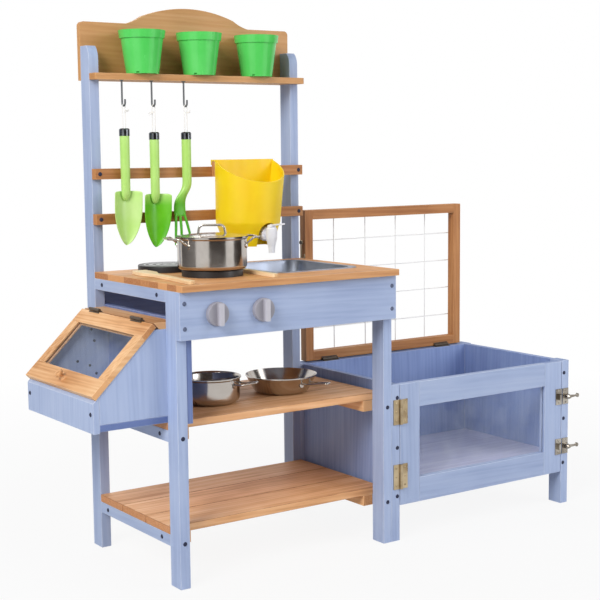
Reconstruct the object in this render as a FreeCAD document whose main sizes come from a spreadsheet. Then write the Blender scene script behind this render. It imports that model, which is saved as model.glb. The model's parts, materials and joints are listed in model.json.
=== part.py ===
import FreeCAD, Part

import math
import os

import Sketcher

# Mud kitchen for children: a timber frame with worktop, two shelves and a high shelf, a bin hung on
# its left side, a planter box with door and mesh lid on its right, and the toys that belong to it.
# Lengths are in millimetres. The kitchen stands with its front along X, its back towards +Y, +Z up.

SIZES = {
    # Kitchen frame
    "kitchen_width": 472,
    "kitchen_depth": 342,
    "leg_width": 20,
    "leg_depth": 35,
    "worktop_height": 537,
    "worktop_thickness": 12,
    "worktop_overhang": 24,
    "post_height": 959.5,
    "post_round_run": 11,
    "post_round_drop": 24,
    "apron_thickness": 14,
    "apron_height": 83.5,
    "back_apron_height": 40,
    "side_rail_height": 21,
    "middle_shelf_height": 293,
    "bottom_shelf_height": 106,
    "plank_thickness": 14,
    "plank_gap": 1.5,
    "batten_width": 22,
    "top_shelf_height": 908,
    "top_shelf_thickness": 12,
    "top_shelf_depth": 60,
    "shelf_end_radius": 4,
    "arch_height": 1040,
    "arch_shoulder_height": 1006,
    "arch_board_thickness": 12,
    "arch_span": 208,
    "arch_end_height": 1021,
    "arch_foot_width": 34,
    "arch_corner_radius": 9,
    "rail_height": 20,
    "rail_thickness": 15,
    "upper_rail_height": 731,
    "lower_rail_height": 646,
    "screw_head_radius": 4,
    "screw_head_height": 1.2,
    "screw_inset": 10,
    # Clearances
    "rest_gap": 0.3,
    "running_gap": 0.3,
    "overrun": 5,
    # Hobs, sink and knobs
    "hob_radius": 56,
    "hob_thickness": 12,
    "hob_edge_radius": 1.5,
    "front_hob_x": 137,
    "front_hob_y": 103,
    "rear_hob_x": 122,
    "rear_hob_y": 243,
    "sink_left": 240,
    "sink_width": 200,
    "sink_front": 50,
    "sink_length": 225,
    "sink_depth": 62,
    "sink_flange": 10,
    "sink_sheet": 1.2,
    "sink_corner_radius": 28,
    "sink_floor_inset": 12,
    "drain_radius": 16,
    "knob_radius": 21,
    "knob_base_thickness": 9,
    "knob_reach": 20,
    "knob_grip_width": 9,
    "knob_edge_radius": 1.5,
    "knob_spacing": 95,
    "left_knob_x": 73,
    # Side bin
    "bin_reach": 142,
    "bin_board": 12,
    "bin_panel_height": 181,
    "bin_wall_height": 458,
    "bin_panel_inset": 2,
    "bin_lid_angle": 44,
    "bin_hinge_reach": 28,
    "bin_lid_length": 164.4,
    "bin_lid_width": 276,
    "bin_lid_thickness": 11,
    "bin_lid_start": 1.6,
    "bin_lid_stile": 27,
    "bin_lid_top_rail": 30,
    "bin_lid_bottom_rail": 36,
    "bin_skirt_drop": 3,
    "pane_thickness": 3,
    "pane_groove": 6,
    "bin_knob_radius": 8,
    "bin_knob_height": 16,
    "bin_knob_neck": 4.5,
    # Hinges
    "barrel_radius": 3,
    "pin_radius": 1.2,
    "leaf_thickness": 1.5,
    "leaf_clearance": 0.2,
    "bin_hinge_length": 40,
    "bin_hinge_inset": 56,
    "bin_leaf_width": 18,
    "door_hinge_length": 49,
    "door_leaf_width": 14,
    "door_hinge_upper": 256,
    "door_hinge_lower": 128,
    "lid_hinge_length": 40,
    "lid_hinge_inset": 60,
    "lid_fixed_leaf_width": 5,
    "lid_moving_leaf_width": 15,
    # Planter box
    "planter_width": 485,
    "planter_height": 311,
    "planter_board": 12,
    "planter_bottom": 70,
    "planter_floor_top": 112,
    "planter_floor_thickness": 9,
    "lid_rest_height": 20,
    "door_gap": 1.5,
    "door_thickness": 15,
    "door_member": 49,
    "door_top_gap": 1,
    "mesh_member": 20,
    "mesh_lid_width": 436,
    "mesh_lid_top": 635,
    "mesh_lid_start": 2,
    "mesh_wire_radius": 1,
    "mesh_inset": 4,
    "hook_wire_radius": 1.3,
    "hook_eye_radius": 1.5,
    "lid_hook_length": 34,
    "lid_hook_height": 567,
    "lid_hook_bend": 5,
    "lid_hook_reach": 5,
    "latch_upper": 234,
    "latch_lower": 126,
    "latch_plate_width": 17,
    "latch_plate_height": 34,
    "latch_boss_radius": 6,
    "latch_boss_height": 6,
    "latch_hub_radius": 5.5,
    "latch_hub_height": 8,
    "latch_arm_length": 31,
    "latch_arm_width": 7,
    "latch_arm_thickness": 3.5,
    "latch_tip_radius": 4.5,
    "keeper_lug_width": 5,
    "keeper_lug_height": 12,
    # High shelf pots
    "plant_pot_radius": 45,
    "plant_pot_foot_radius": 31,
    "plant_pot_height": 81,
    "plant_pot_band": 15,
    "plant_pot_band_step": 2.5,
    "plant_pot_wall": 1.8,
    "plant_pot_hole_radius": 3,
    "plant_pot_y": 297,
    "left_plant_pot_x": 107,
    "middle_plant_pot_x": 232,
    "right_plant_pot_x": 365,
    # Cooking pots
    "pot_radius": 63.5,
    "pot_height": 59,
    "pot_wall": 1.5,
    "pot_foot_radius": 8,
    "pot_rim_reach": 2.5,
    "pot_rim_height": 2,
    "pot_lid_rise": 5,
    "pot_lid_sheet": 1.2,
    "pot_lid_plug": 3,
    "pot_strap_length": 50,
    "pot_strap_height": 14,
    "pot_strap_radius": 2.2,
    "pot_grip_reach": 22,
    "pot_grip_half_width": 32,
    "pot_grip_drop": 14,
    "pot_grip_radius": 2,
    "grip_pad_radius": 5,
    "grip_pad_thickness": 1.5,
    "saucepan_radius": 55,
    "saucepan_height": 50,
    "saucepan_foot_radius": 14,
    "saucepan_x": 155,
    "saucepan_y": 147,
    "saucepan_handle": 38,
    "frying_pan_radius": 67.5,
    "frying_pan_base_radius": 51,
    "frying_pan_height": 35,
    "frying_pan_foot_radius": 12,
    "frying_pan_x": 322,
    "frying_pan_y": 158,
    "frying_pan_handle": 48,
    "pan_handle_spread": 13,
    "pan_handle_tip": 5,
    "pan_handle_radius": 2,
    "pan_handle_drop": 13,
    # Water container and tap
    "container_left": 253,
    "container_width": 136,
    "container_depth": 92,
    "container_top": 742,
    "container_front_top": 699,
    "container_waist": 621,
    "container_bottom": 575,
    "container_waist_width": 123,
    "container_foot_left": 20,
    "container_foot_width": 84,
    "container_foot_depth": 72,
    "container_wall": 2.5,
    "container_hanger_height": 30,
    "container_hanger_thickness": 12,
    "container_hook_drop": 7,
    "container_recess_radius": 22,
    "tap_x": 325,
    "tap_height": 599,
    "tap_nut_radius": 12,
    "tap_nut_length": 9,
    "tap_barrel_radius": 7,
    "tap_reach": 60,
    "tap_seat_depth": 30,
    "tap_body_radius": 11,
    "tap_body_height": 37,
    "tap_body_drop": 24,
    "tap_spout_radius": 6,
    "tap_spout_length": 12,
    "tap_dome_radius": 8.5,
    "tap_lever_length": 40,
    "tap_lever_width": 9,
    "tap_lever_thickness": 3,
    "tap_lever_lift": 4,
    # Hooks and hand tools
    "tool_hook_drop": 50,
    "tool_hook_radius": 1.75,
    "tool_hook_bend": 6,
    "tool_hook_y": 287,
    "tool_hook_flange": 5,
    "tool_hook_tip": 12,
    "first_tool_x": 57,
    "second_tool_x": 120,
    "third_tool_x": 190,
    "string_radius": 0.8,
    "first_string_drop": 42,
    "second_string_drop": 49,
    "third_string_drop": 49,
    "tool_length": 221,
    "tool_handle_length": 115,
    "tool_handle_radius": 9.5,
    "tool_cap_length": 14,
    "tool_cap_radius": 10,
    "tool_cap_hole_depth": 6,
    "trowel_width": 59,
    "trowel_length": 104,
    "trowel_curve_radius": 42,
    "trowel_sheet": 2.2,
    "trowel_set_back": 6,
    "fork_width": 48,
    "fork_neck": 14,
    "fork_tine": 8,
    "fork_root": 38,
    "fork_curve_radius": 110,
    "fork_sheet": 3.5,
    "fork_set_back": 8,
    # Wooden utensils
    "utensil_length": 238,
    "utensil_thickness": 6,
    "utensil_grip_width": 12,
    "utensil_end_x": 27,
    "utensil_end_y": -14,
    "spatula_width": 32,
    "spatula_head": 80,
    "spoon_end_x": 204,
    "spoon_end_y": -6,
    "spoon_length": 196,
    "spoon_bowl_length": 44,
    "spoon_bowl_width": 30,
    "spoon_bowl_depth": 3,
}

# Plain counts, turns and shares of the sizes above
PLANK_COUNT = 3
MESH_BARS = 6
PLANT_POT_HOLES = 4
HALF_TURN = 180
QUARTER_TURN = 90
POT_GRIP_ANGLES = (165, 345)
POT_STRAP_ANGLE = -35
SAUCEPAN_ANGLE = -53.5
FRYING_PAN_ANGLE = -72.7
SPATULA_ANGLE = -5.5
SPOON_ANGLE = -4.4
TINY_SHARE = 0.001
DIAGONAL_SHARE = math.sqrt(0.5)
POST_ROUND_SHARES = (0.26, 0.55)
ARCH_FOOT_SHARES = (0.5, 0.37)
PLANTER_SCREW_SHARES = (0.08, 0.48, 0.89)

DOC = FreeCAD.newDocument("MudKitchen")
SHEET = DOC.addObject("Spreadsheet::Sheet", "Sizes")


class Size:
    """A size with its value and the formula that gives it from the sheet."""

    def __init__(self, value, formula):
        self.value = value
        self.formula = formula

    def __float__(self):
        return self.value

    def __neg__(self):
        return Size(-self.value, "(-{})".format(self.formula))

    def __add__(self, other):
        other = sized(other)
        return Size(self.value + other.value, "({} + {})".format(self.formula, other.formula))

    def __sub__(self, other):
        other = sized(other)
        return Size(self.value - other.value, "({} - {})".format(self.formula, other.formula))

    def __mul__(self, other):
        other = sized(other)
        return Size(self.value * other.value, "({} * {})".format(self.formula, other.formula))

    def __truediv__(self, other):
        other = sized(other)
        return Size(self.value / other.value, "({} / {})".format(self.formula, other.formula))

    def __radd__(self, other):
        return sized(other) + self

    def __rsub__(self, other):
        return sized(other) - self

    def __rmul__(self, other):
        return sized(other) * self


def sized(value):
    """The value as a Size."""
    if isinstance(value, Size):
        return value
    return Size(float(value), "({:.12g})".format(float(value)))


def cosine(angle):
    return Size(math.cos(math.radians(float(angle))), "cos({})".format(angle.formula))


def sine(angle):
    return Size(math.sin(math.radians(float(angle))), "sin({})".format(angle.formula))


def write_cell(row, name, value):
    """Put one size in the sheet with its name as alias."""
    SHEET.set("A{}".format(row), name)
    SHEET.set("B{}".format(row), str(value))
    SHEET.setAlias("B{}".format(row), name)
    return Size(float(value), "Sizes.{}".format(name))


class Sheet:
    """The driving sizes, each under its own name."""


S = Sheet()
for row_number, (size_name, size_value) in enumerate(SIZES.items(), start=1):
    setattr(S, size_name, write_cell(row_number, size_name, size_value))

# The origin is the middle of the whole outline on the floor, found when all pieces exist
ORIGIN_ROWS = {"origin_x": len(SIZES) + 1, "origin_y": len(SIZES) + 2}
ORIGIN_X, ORIGIN_Y = [write_cell(row, name, 0) for name, row in ORIGIN_ROWS.items()]
DOC.recompute()

NODES = {}
PLANE_TURNS = {"XY": False, "XZ": True, "YZ": False}
ALONG = {
    "X": ((0, 1, 0), QUARTER_TURN),
    "-X": ((0, 1, 0), -QUARTER_TURN),
    "Y": ((1, 0, 0), -QUARTER_TURN),
    "-Y": ((1, 0, 0), QUARTER_TURN),
    "Z": ((0, 0, 1), 0),
    "-Z": ((1, 0, 0), HALF_TURN),
}


def bind(thing, target, size):
    thing.setExpression(target, sized(size).formula)


def put(thing, x=0, y=0, z=0, axis=(0, 0, 1), angle=0):
    """Place a piece at a point, turned about an axis."""
    point = FreeCAD.Vector(float(x), float(y), float(z))
    turn = FreeCAD.Rotation(FreeCAD.Vector(*axis), float(angle))
    thing.Placement = FreeCAD.Placement(point, turn)
    for letter, size in zip("xyz", (x, y, z)):
        bind(thing, "Placement.Base.{}".format(letter), size)
    if isinstance(angle, Size):
        bind(thing, "Placement.Rotation.Angle", angle)
    return thing


def node(label, pieces, x=0, y=0, z=0, axis=(0, 0, 1), angle=0):
    """Gather the solids of one sub-part under its own label."""
    group = DOC.addObject("Part::Compound", label)
    group.Label = label
    group.Links = pieces
    put(group, x - ORIGIN_X, y - ORIGIN_Y, z, axis, angle)
    NODES[label] = group
    return group


def board(name, x, y, z):
    """A rectangular board between two ends along each axis."""
    box = DOC.addObject("Part::Box", name)
    ends = [[sized(end) for end in pair] for pair in (x, y, z)]
    for side, pair in zip(("Length", "Width", "Height"), ends):
        bind(box, side, pair[1] - pair[0])
    return put(box, *[pair[0] for pair in ends])


def rod(name, radius, length, x, y, z, along="Z"):
    """A round rod from a point along a direction."""
    cylinder = DOC.addObject("Part::Cylinder", name)
    bind(cylinder, "Radius", radius)
    bind(cylinder, "Height", length)
    axis, angle = ALONG[along]
    return put(cylinder, x, y, z, axis, angle)


def cut(name, base, *tools):
    result = base
    for tool in tools:
        step = DOC.addObject("Part::Cut", name)
        step.Base = result
        step.Tool = tool
        result = step
    return result


def fuse(name, *pieces):
    result = DOC.addObject("Part::MultiFuse", name)
    result.Shapes = list(pieces)
    return result


def common(name, *pieces):
    result = DOC.addObject("Part::MultiCommon", name)
    result.Shapes = list(pieces)
    return result


class Via:
    """A point that an arc of an outline passes on its way to the next corner."""

    def __init__(self, x, y):
        self.x = sized(x)
        self.y = sized(y)


class Corner:
    """A corner of an outline, sharp or rounded."""

    def __init__(self, x, y, radius=None):
        self.x = sized(x)
        self.y = sized(y)
        self.radius = radius
        self.point = FreeCAD.Vector(float(self.x), float(self.y), 0)

    def tangent_point(self, other):
        """The end of the rounding on the line towards another corner."""
        if self.radius is None:
            return self.point
        reach = float(self.radius) / math.tan(self.half_angle)
        return self.point + (other.point - self.point).normalize() * reach


def arc_geometry(start, middle, end):
    """An anticlockwise arc and which of its ends comes first on the way."""
    curve = Part.Arc(start, middle, end).toShape().Curve
    center = curve.Center
    radius = curve.Radius
    turn = (middle - start).cross(end - middle).z
    first, last = (start, end) if turn > 0 else (end, start)
    angles = [math.atan2((point - center).y, (point - center).x) for point in (first, last)]
    whole = Part.Circle(center, FreeCAD.Vector(0, 0, 1), radius)
    ends = (1, 2) if turn > 0 else (2, 1)
    return Part.ArcOfCircle(whole, angles[0], angles[1]), ends


def pin_point(sketch, geometry, position, x, y):
    """Hold a point of a sketch at sizes measured from the sketch's origin."""
    for kind, size in (("DistanceX", x), ("DistanceY", y)):
        number = sketch.addConstraint(Sketcher.Constraint(kind, -1, 1, geometry, position, float(size)))
        bind(sketch, "Constraints[{}]".format(number), size)


def draw(sketch, outline):
    """Draw a closed outline of corners and arcs, held by the sizes of its points."""
    corners = [item for item in outline if isinstance(item, Corner)]
    count = len(corners)
    vias = {}
    for index, item in enumerate(outline):
        if isinstance(item, Via):
            before = sum(isinstance(other, Corner) for other in outline[:index])
            vias[before - 1] = item
    for index, corner in enumerate(corners):
        if corner.radius is not None:
            back = corners[index - 1].point - corner.point
            ahead = corners[(index + 1) % count].point - corner.point
            corner.half_angle = back.getAngle(ahead) / 2
    runs = []
    for index, corner in enumerate(corners):
        following = corners[(index + 1) % count]
        start = corner.tangent_point(following)
        end = following.tangent_point(corner)
        if index in vias:
            via = vias[index]
            middle = FreeCAD.Vector(float(via.x), float(via.y), 0)
            arc, ends = arc_geometry(start, middle, end)
            number = sketch.addGeometry(arc)
            runs.append((number, ends[0], ends[1]))
            mark = sketch.addGeometry(Part.Point(middle), True)
            pin_point(sketch, mark, 1, via.x, via.y)
            sketch.addConstraint(Sketcher.Constraint("PointOnObject", mark, 1, number))
        else:
            number = sketch.addGeometry(Part.LineSegment(start, end))
            runs.append((number, 1, 2))
    for index, corner in enumerate(corners):
        before, _, before_end = runs[index - 1]
        after, after_start, _ = runs[index]
        if corner.radius is None:
            sketch.addConstraint(Sketcher.Constraint("Coincident", before, before_end, after, after_start))
            pin_point(sketch, after, after_start, corner.x, corner.y)
            continue
        start = corner.tangent_point(corners[index - 1])
        end = corner.tangent_point(corners[(index + 1) % count])
        inward = ((start + end) * 0.5 - corner.point).normalize()
        center = corner.point + inward * (float(corner.radius) / math.sin(corner.half_angle))
        middle = center - inward * float(corner.radius)
        arc, ends = arc_geometry(start, middle, end)
        number = sketch.addGeometry(arc)
        sketch.addConstraint(Sketcher.Constraint("Tangent", before, before_end, number, ends[0]))
        sketch.addConstraint(Sketcher.Constraint("Tangent", number, ends[1], after, after_start))
        radius = sketch.addConstraint(Sketcher.Constraint("Radius", number, float(corner.radius)))
        bind(sketch, "Constraints[{}]".format(radius), corner.radius)
        mark = sketch.addGeometry(Part.Point(corner.point), True)
        pin_point(sketch, mark, 1, corner.x, corner.y)
        sketch.addConstraint(Sketcher.Constraint("PointOnObject", mark, 1, before))
        sketch.addConstraint(Sketcher.Constraint("PointOnObject", mark, 1, after))


def circle(sketch, x, y, radius):
    """Draw a circle about a point."""
    center = FreeCAD.Vector(float(sized(x)), float(sized(y)), 0)
    number = sketch.addGeometry(Part.Circle(center, FreeCAD.Vector(0, 0, 1), float(radius)))
    pin_point(sketch, number, 3, sized(x), sized(y))
    size = sketch.addConstraint(Sketcher.Constraint("Radius", number, float(radius)))
    bind(sketch, "Constraints[{}]".format(size), radius)


def sketch_on(body, plane):
    """An empty sketch on one of a body's own planes."""
    sketch = body.newObject("Sketcher::SketchObject", "Outline")
    for feature in body.Origin.OriginFeatures:
        if feature.Role == "{}_Plane".format(plane):
            sketch.AttachmentSupport = [(feature, "")]
    sketch.MapMode = "FlatFace"
    return sketch


def padded(name, plane, outlines, start, depth):
    """A solid of one outline, with any holes, padded along the third axis."""
    body = DOC.addObject("PartDesign::Body", name)
    sketch = sketch_on(body, plane)
    for outline in outlines:
        draw(sketch, outline)
    pad = body.newObject("PartDesign::Pad", "Pad")
    pad.Profile = sketch
    bind(pad, "Length", depth)
    pad.Reversed = PLANE_TURNS[plane]
    shift = {"XY": (0, 0, start), "XZ": (0, start, 0), "YZ": (start, 0, 0)}[plane]
    return put(body, *shift)


def turned(name, outline, x=0, y=0, z=0, along="Z"):
    """A solid turned about its own axis from an outline of radius and height."""
    body = DOC.addObject("PartDesign::Body", name)
    sketch = sketch_on(body, "XZ")
    draw(sketch, outline)
    turn = body.newObject("PartDesign::Revolution", "Revolution")
    turn.Profile = sketch
    turn.ReferenceAxis = (sketch, ["V_Axis"])
    turn.Angle = 2 * HALF_TURN
    axis, angle = ALONG[along]
    return put(body, x, y, z, axis, angle)


def lofted(name, sections):
    """A straight-sided loft through outlines at rising heights."""
    body = DOC.addObject("PartDesign::Body", name)
    sketches = []
    for height, outline in sections:
        sketch = sketch_on(body, "XY")
        bind(sketch, "AttachmentOffset.Base.z", height)
        draw(sketch, outline)
        sketches.append(sketch)
    loft = body.newObject("PartDesign::AdditiveLoft", "Loft")
    loft.Profile = sketches[0]
    loft.Sections = sketches[1:]
    loft.Ruled = True
    return body


def rectangle(x, y, radius=None):
    """The outline of a rectangle between two ends along each axis."""
    return [Corner(x[0], y[0], radius), Corner(x[1], y[0], radius),
            Corner(x[1], y[1], radius), Corner(x[0], y[1], radius)]


def bent_wire(points, bends):
    """Straight runs through points, joined by tangent arcs of the radius given for each bend."""
    edges = []
    last = points[0]
    for index, radius in enumerate(bends, start=1):
        corner = points[index]
        back = (points[index - 1] - corner).normalize()
        ahead = (points[index + 1] - corner).normalize()
        half = back.getAngle(ahead) / 2
        reach = radius / math.tan(half)
        inward = (back + ahead).normalize()
        center = corner + inward * (radius / math.sin(half))
        start = corner + back * reach
        end = corner + ahead * reach
        if (start - last).Length > radius * TINY_SHARE:
            edges.append(Part.LineSegment(last, start).toShape())
        edges.append(Part.Arc(start, center - inward * radius, end).toShape())
        last = end
    edges.append(Part.LineSegment(last, points[-1]).toShape())
    return Part.Wire(edges)


def bent_rod(name, points, bends, radius):
    """A round bar bent along straight runs and arcs."""
    route = [FreeCAD.Vector(*[float(sized(size)) for size in point]) for point in points]
    path = bent_wire(route, [float(bend) for bend in bends])
    first = path.OrderedEdges[0]
    direction = first.tangentAt(first.FirstParameter)
    section = Part.Wire([Part.makeCircle(float(radius), route[0], direction)])
    feature = DOC.addObject("Part::Feature", name)
    feature.Shape = path.makePipeShell([section], True, False)
    return feature


# Places that several pieces share
LEG_TOP = S.worktop_height - S.worktop_thickness
RIGHT = S.kitchen_width
BACK = S.kitchen_depth
INNER_RIGHT = RIGHT - S.leg_width
POST_FRONT = BACK - S.leg_depth
SIDE_X = ((0, S.leg_width), (INNER_RIGHT, RIGHT))
BETWEEN_LEGS = (S.leg_depth, POST_FRONT)
TOP_SHELF_UNDERSIDE = S.top_shelf_height - S.top_shelf_thickness
TOP_SHELF_FRONT = BACK - S.top_shelf_depth
RAIL_FRONT = POST_FRONT - S.rail_thickness
HANGER_FRONT = RAIL_FRONT - S.container_hanger_thickness
AXIS_HEIGHT = S.barrel_radius + S.leaf_clearance


def shelf_levels():
    """The top of the side rails that carry each shelf."""
    return [S.middle_shelf_height - S.plank_thickness, S.bottom_shelf_height - S.plank_thickness]


def build_legs():
    node("front_legs", [board("FrontLeg", x, (0, S.leg_depth), (0, LEG_TOP)) for x in SIDE_X])
    run = S.post_round_run
    drop = S.post_round_drop
    side = [
        Corner(POST_FRONT, 0),
        Corner(BACK, 0),
        Corner(BACK, S.post_height),
        Corner(POST_FRONT + run, S.post_height),
        Via(POST_FRONT + run * POST_ROUND_SHARES[0], S.post_height - drop * (1 - POST_ROUND_SHARES[1])),
        Corner(POST_FRONT, S.post_height - drop),
    ]
    node("back_posts", [padded("BackPost", "YZ", [side], x[0], S.leg_width) for x in SIDE_X])


def build_aprons():
    front = board("FrontApron", (0, RIGHT), (-S.apron_thickness, 0), (LEG_TOP - S.apron_height, LEG_TOP))
    node("front_apron", [front])
    back = board("BackApron", (S.leg_width, INNER_RIGHT), (BACK - S.apron_thickness, BACK),
                 (LEG_TOP - S.back_apron_height, LEG_TOP))
    node("back_apron", [back])


def build_rails_and_shelves():
    rails = []
    battens = []
    planks = []
    batten_x = ((S.leg_width, S.leg_width + S.batten_width), (INNER_RIGHT - S.batten_width, INNER_RIGHT))
    for top in [LEG_TOP] + shelf_levels():
        rails += [board("SideRail", x, BETWEEN_LEGS, (top - S.side_rail_height, top)) for x in SIDE_X]
    pitch = (POST_FRONT - S.leg_depth + S.plank_gap) / PLANK_COUNT
    for top in shelf_levels():
        battens += [board("Batten", x, BETWEEN_LEGS, (top - S.side_rail_height, top)) for x in batten_x]
        for number in range(PLANK_COUNT):
            start = S.leg_depth + pitch * number
            planks.append(board("Plank", (0, RIGHT), (start, start + pitch - S.plank_gap),
                                (top, top + S.plank_thickness)))
    node("side_rails", rails)
    node("shelf_battens", battens)
    node("shelf_planks", planks)


def sink_hole(gap):
    """The outline of the sink's bowl at the worktop, widened by a gap."""
    inset = S.sink_flange - gap
    return rectangle((S.sink_left + inset, S.sink_left + S.sink_width - inset),
                     (S.sink_front + inset, S.sink_front + S.sink_length - inset), S.sink_corner_radius)


def bowl_outline(inset):
    """The sink's bowl drawn in from its hole, with corners that keep their centres."""
    edge = S.sink_flange + inset
    return rectangle((S.sink_left + edge, S.sink_left + S.sink_width - edge),
                     (S.sink_front + edge, S.sink_front + S.sink_length - edge),
                     S.sink_corner_radius)


def build_worktop():
    top = S.worktop_height
    outline = rectangle((0, RIGHT), (-S.worktop_overhang, POST_FRONT))
    top_board = padded("Worktop", "XY", [outline, sink_hole(S.rest_gap)], LEG_TOP, S.worktop_thickness)
    node("worktop", [top_board])
    disc = [
        Corner(0, 0),
        Corner(S.hob_radius, 0),
        Corner(S.hob_radius, S.hob_thickness, S.hob_edge_radius),
        Corner(0, S.hob_thickness),
    ]
    places = ((S.front_hob_x, S.front_hob_y), (S.rear_hob_x, S.rear_hob_y))
    node("hob_plates", [turned("HobPlate", disc, x, y, top) for x, y in places])
    floor = top - S.sink_depth
    foot = S.sink_floor_inset
    sheet = S.sink_sheet
    outside = lofted("BowlOutside", [(floor, bowl_outline(foot)), (top, bowl_outline(0))])
    flange = padded("Flange", "XY", [rectangle((S.sink_left, S.sink_left + S.sink_width),
                                               (S.sink_front, S.sink_front + S.sink_length),
                                               S.sink_corner_radius)], top, sheet)
    inside = lofted("BowlInside", [(floor + sheet, bowl_outline(foot + sheet)), (top, bowl_outline(sheet)),
                                   (top + S.overrun, bowl_outline(sheet))])
    drain = rod("Drain", S.drain_radius, S.overrun + sheet + S.overrun, S.sink_left + S.sink_width / 2,
                S.sink_front + S.sink_length / 2, floor - S.overrun)
    node("sink_basin", [cut("Basin", fuse("BasinOutside", outside, flange), inside, drain)])


def build_high_shelf():
    end = S.shelf_end_radius
    shelf = [
        Corner(0, TOP_SHELF_FRONT, end), Corner(RIGHT, TOP_SHELF_FRONT, end),
        Corner(RIGHT, POST_FRONT), Corner(INNER_RIGHT, POST_FRONT),
        Corner(INNER_RIGHT, BACK), Corner(S.leg_width, BACK),
        Corner(S.leg_width, POST_FRONT), Corner(0, POST_FRONT),
    ]
    node("top_shelf", [padded("TopShelf", "XY", [shelf], TOP_SHELF_UNDERSIDE, S.top_shelf_thickness)])
    middle = RIGHT / 2
    half = S.arch_span / 2
    foot = S.arch_foot_width
    low = S.arch_shoulder_height
    rise = S.arch_end_height - low
    run_share, rise_share = ARCH_FOOT_SHARES
    arch = [
        Corner(0, TOP_SHELF_UNDERSIDE),
        Corner(RIGHT, TOP_SHELF_UNDERSIDE),
        Corner(RIGHT, low, S.arch_corner_radius),
        Corner(middle + half + foot, low),
        Via(middle + half + foot * run_share, low + rise * rise_share),
        Corner(middle + half, S.arch_end_height),
        Via(middle, S.arch_height),
        Corner(middle - half, S.arch_end_height),
        Via(middle - half - foot * run_share, low + rise * rise_share),
        Corner(middle - half - foot, low),
        Corner(0, low, S.arch_corner_radius),
    ]
    node("arch_back_board", [padded("ArchBoard", "XZ", [arch], BACK, S.arch_board_thickness)])
    rail_y = (RAIL_FRONT, POST_FRONT)
    rails = [board("HangingRail", (0, RIGHT), rail_y, (top - S.rail_height, top))
             for top in (S.upper_rail_height, S.lower_rail_height)]
    node("hanging_rails", rails)
    bottom = S.upper_rail_height - S.rail_height
    hanger = board("Hanger", (S.container_left, S.container_left + S.container_width),
                   (HANGER_FRONT, RAIL_FRONT), (bottom, bottom + S.container_hanger_height))
    node("container_hanger", [hanger])


# The side bin: its sloping lid turns about a line beside the top board
BIN_FLOOR = S.middle_shelf_height
BIN_FLOOR_TOP = BIN_FLOOR + S.bin_board
BIN_TOP = S.bin_wall_height + S.bin_board
BIN_WALL_X = S.bin_board - S.bin_reach
LID_COS = cosine(S.bin_lid_angle)
LID_SIN = sine(S.bin_lid_angle)
BIN_HINGE_X = -S.bin_hinge_reach
BIN_HINGE_Z = BIN_TOP + AXIS_HEIGHT
LID_UNDERSIDE = AXIS_HEIGHT + S.bin_lid_thickness
BIN_MIDDLE = (S.leg_depth + POST_FRONT) / 2


def slope_height(x):
    """The height of the bin's sloping edge, just below the closed lid."""
    below = LID_UNDERSIDE + S.rest_gap
    return BIN_HINGE_Z - below * LID_COS - (BIN_HINGE_X + below * LID_SIN - x) * LID_SIN / LID_COS


def slope_place(z):
    """Where the bin's sloping edge is at a height."""
    below = LID_UNDERSIDE + S.rest_gap
    return BIN_HINGE_X + below * LID_SIN - (BIN_HINGE_Z - below * LID_COS - z) * LID_COS / LID_SIN


def board_edge(z):
    """Where the top board's bevelled edge is at a height, parallel to the end of the lid."""
    shift = S.bin_lid_start / 2
    depth = (BIN_HINGE_Z + shift * LID_SIN - z) / LID_COS
    return BIN_HINGE_X + shift * LID_COS + depth * LID_SIN


def build_bin():
    panel = board("BackPanel", (S.leg_width, S.leg_width + S.bin_board),
                  (S.bin_panel_inset, BACK - S.bin_panel_inset), (BIN_FLOOR, BIN_FLOOR + S.bin_panel_height))
    node("bin_back_panel", [panel])
    floor = board("BinFloor", (BIN_WALL_X, S.leg_width), BETWEEN_LEGS, (BIN_FLOOR, BIN_FLOOR_TOP))
    node("bin_floor", [floor])
    end_wall = [
        Corner(S.leg_width, BIN_FLOOR_TOP),
        Corner(S.leg_width, S.bin_wall_height),
        Corner(slope_place(S.bin_wall_height), S.bin_wall_height),
        Corner(BIN_WALL_X, slope_height(BIN_WALL_X)),
        Corner(BIN_WALL_X, BIN_FLOOR_TOP),
    ]
    skirt = BIN_FLOOR - S.bin_skirt_drop
    outer_wall = [
        Corner(BIN_WALL_X, skirt),
        Corner(BIN_WALL_X, slope_height(BIN_WALL_X)),
        Corner(-S.bin_reach, slope_height(-S.bin_reach)),
        Corner(-S.bin_reach, skirt),
    ]
    walls = [padded("EndWall", "XZ", [end_wall], y, S.bin_board)
             for y in (S.leg_depth, POST_FRONT - S.bin_board)]
    walls.append(padded("OuterWall", "XZ", [outer_wall], S.leg_depth, POST_FRONT - S.leg_depth))
    node("bin_walls", walls)
    top_board = [
        Corner(S.leg_width, S.bin_wall_height),
        Corner(S.leg_width, BIN_TOP),
        Corner(board_edge(BIN_TOP), BIN_TOP),
        Corner(board_edge(S.bin_wall_height), S.bin_wall_height),
    ]
    node("bin_top_board", [padded("TopBoard", "XZ", [top_board], S.leg_depth, POST_FRONT - S.leg_depth)])


def lid_node(label, pieces):
    """A sub-part of the bin's lid, drawn level and then laid at the lid's slope."""
    return node(label, pieces, BIN_HINGE_X, 0, BIN_HINGE_Z, (0, 1, 0), -S.bin_lid_angle)


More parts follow.
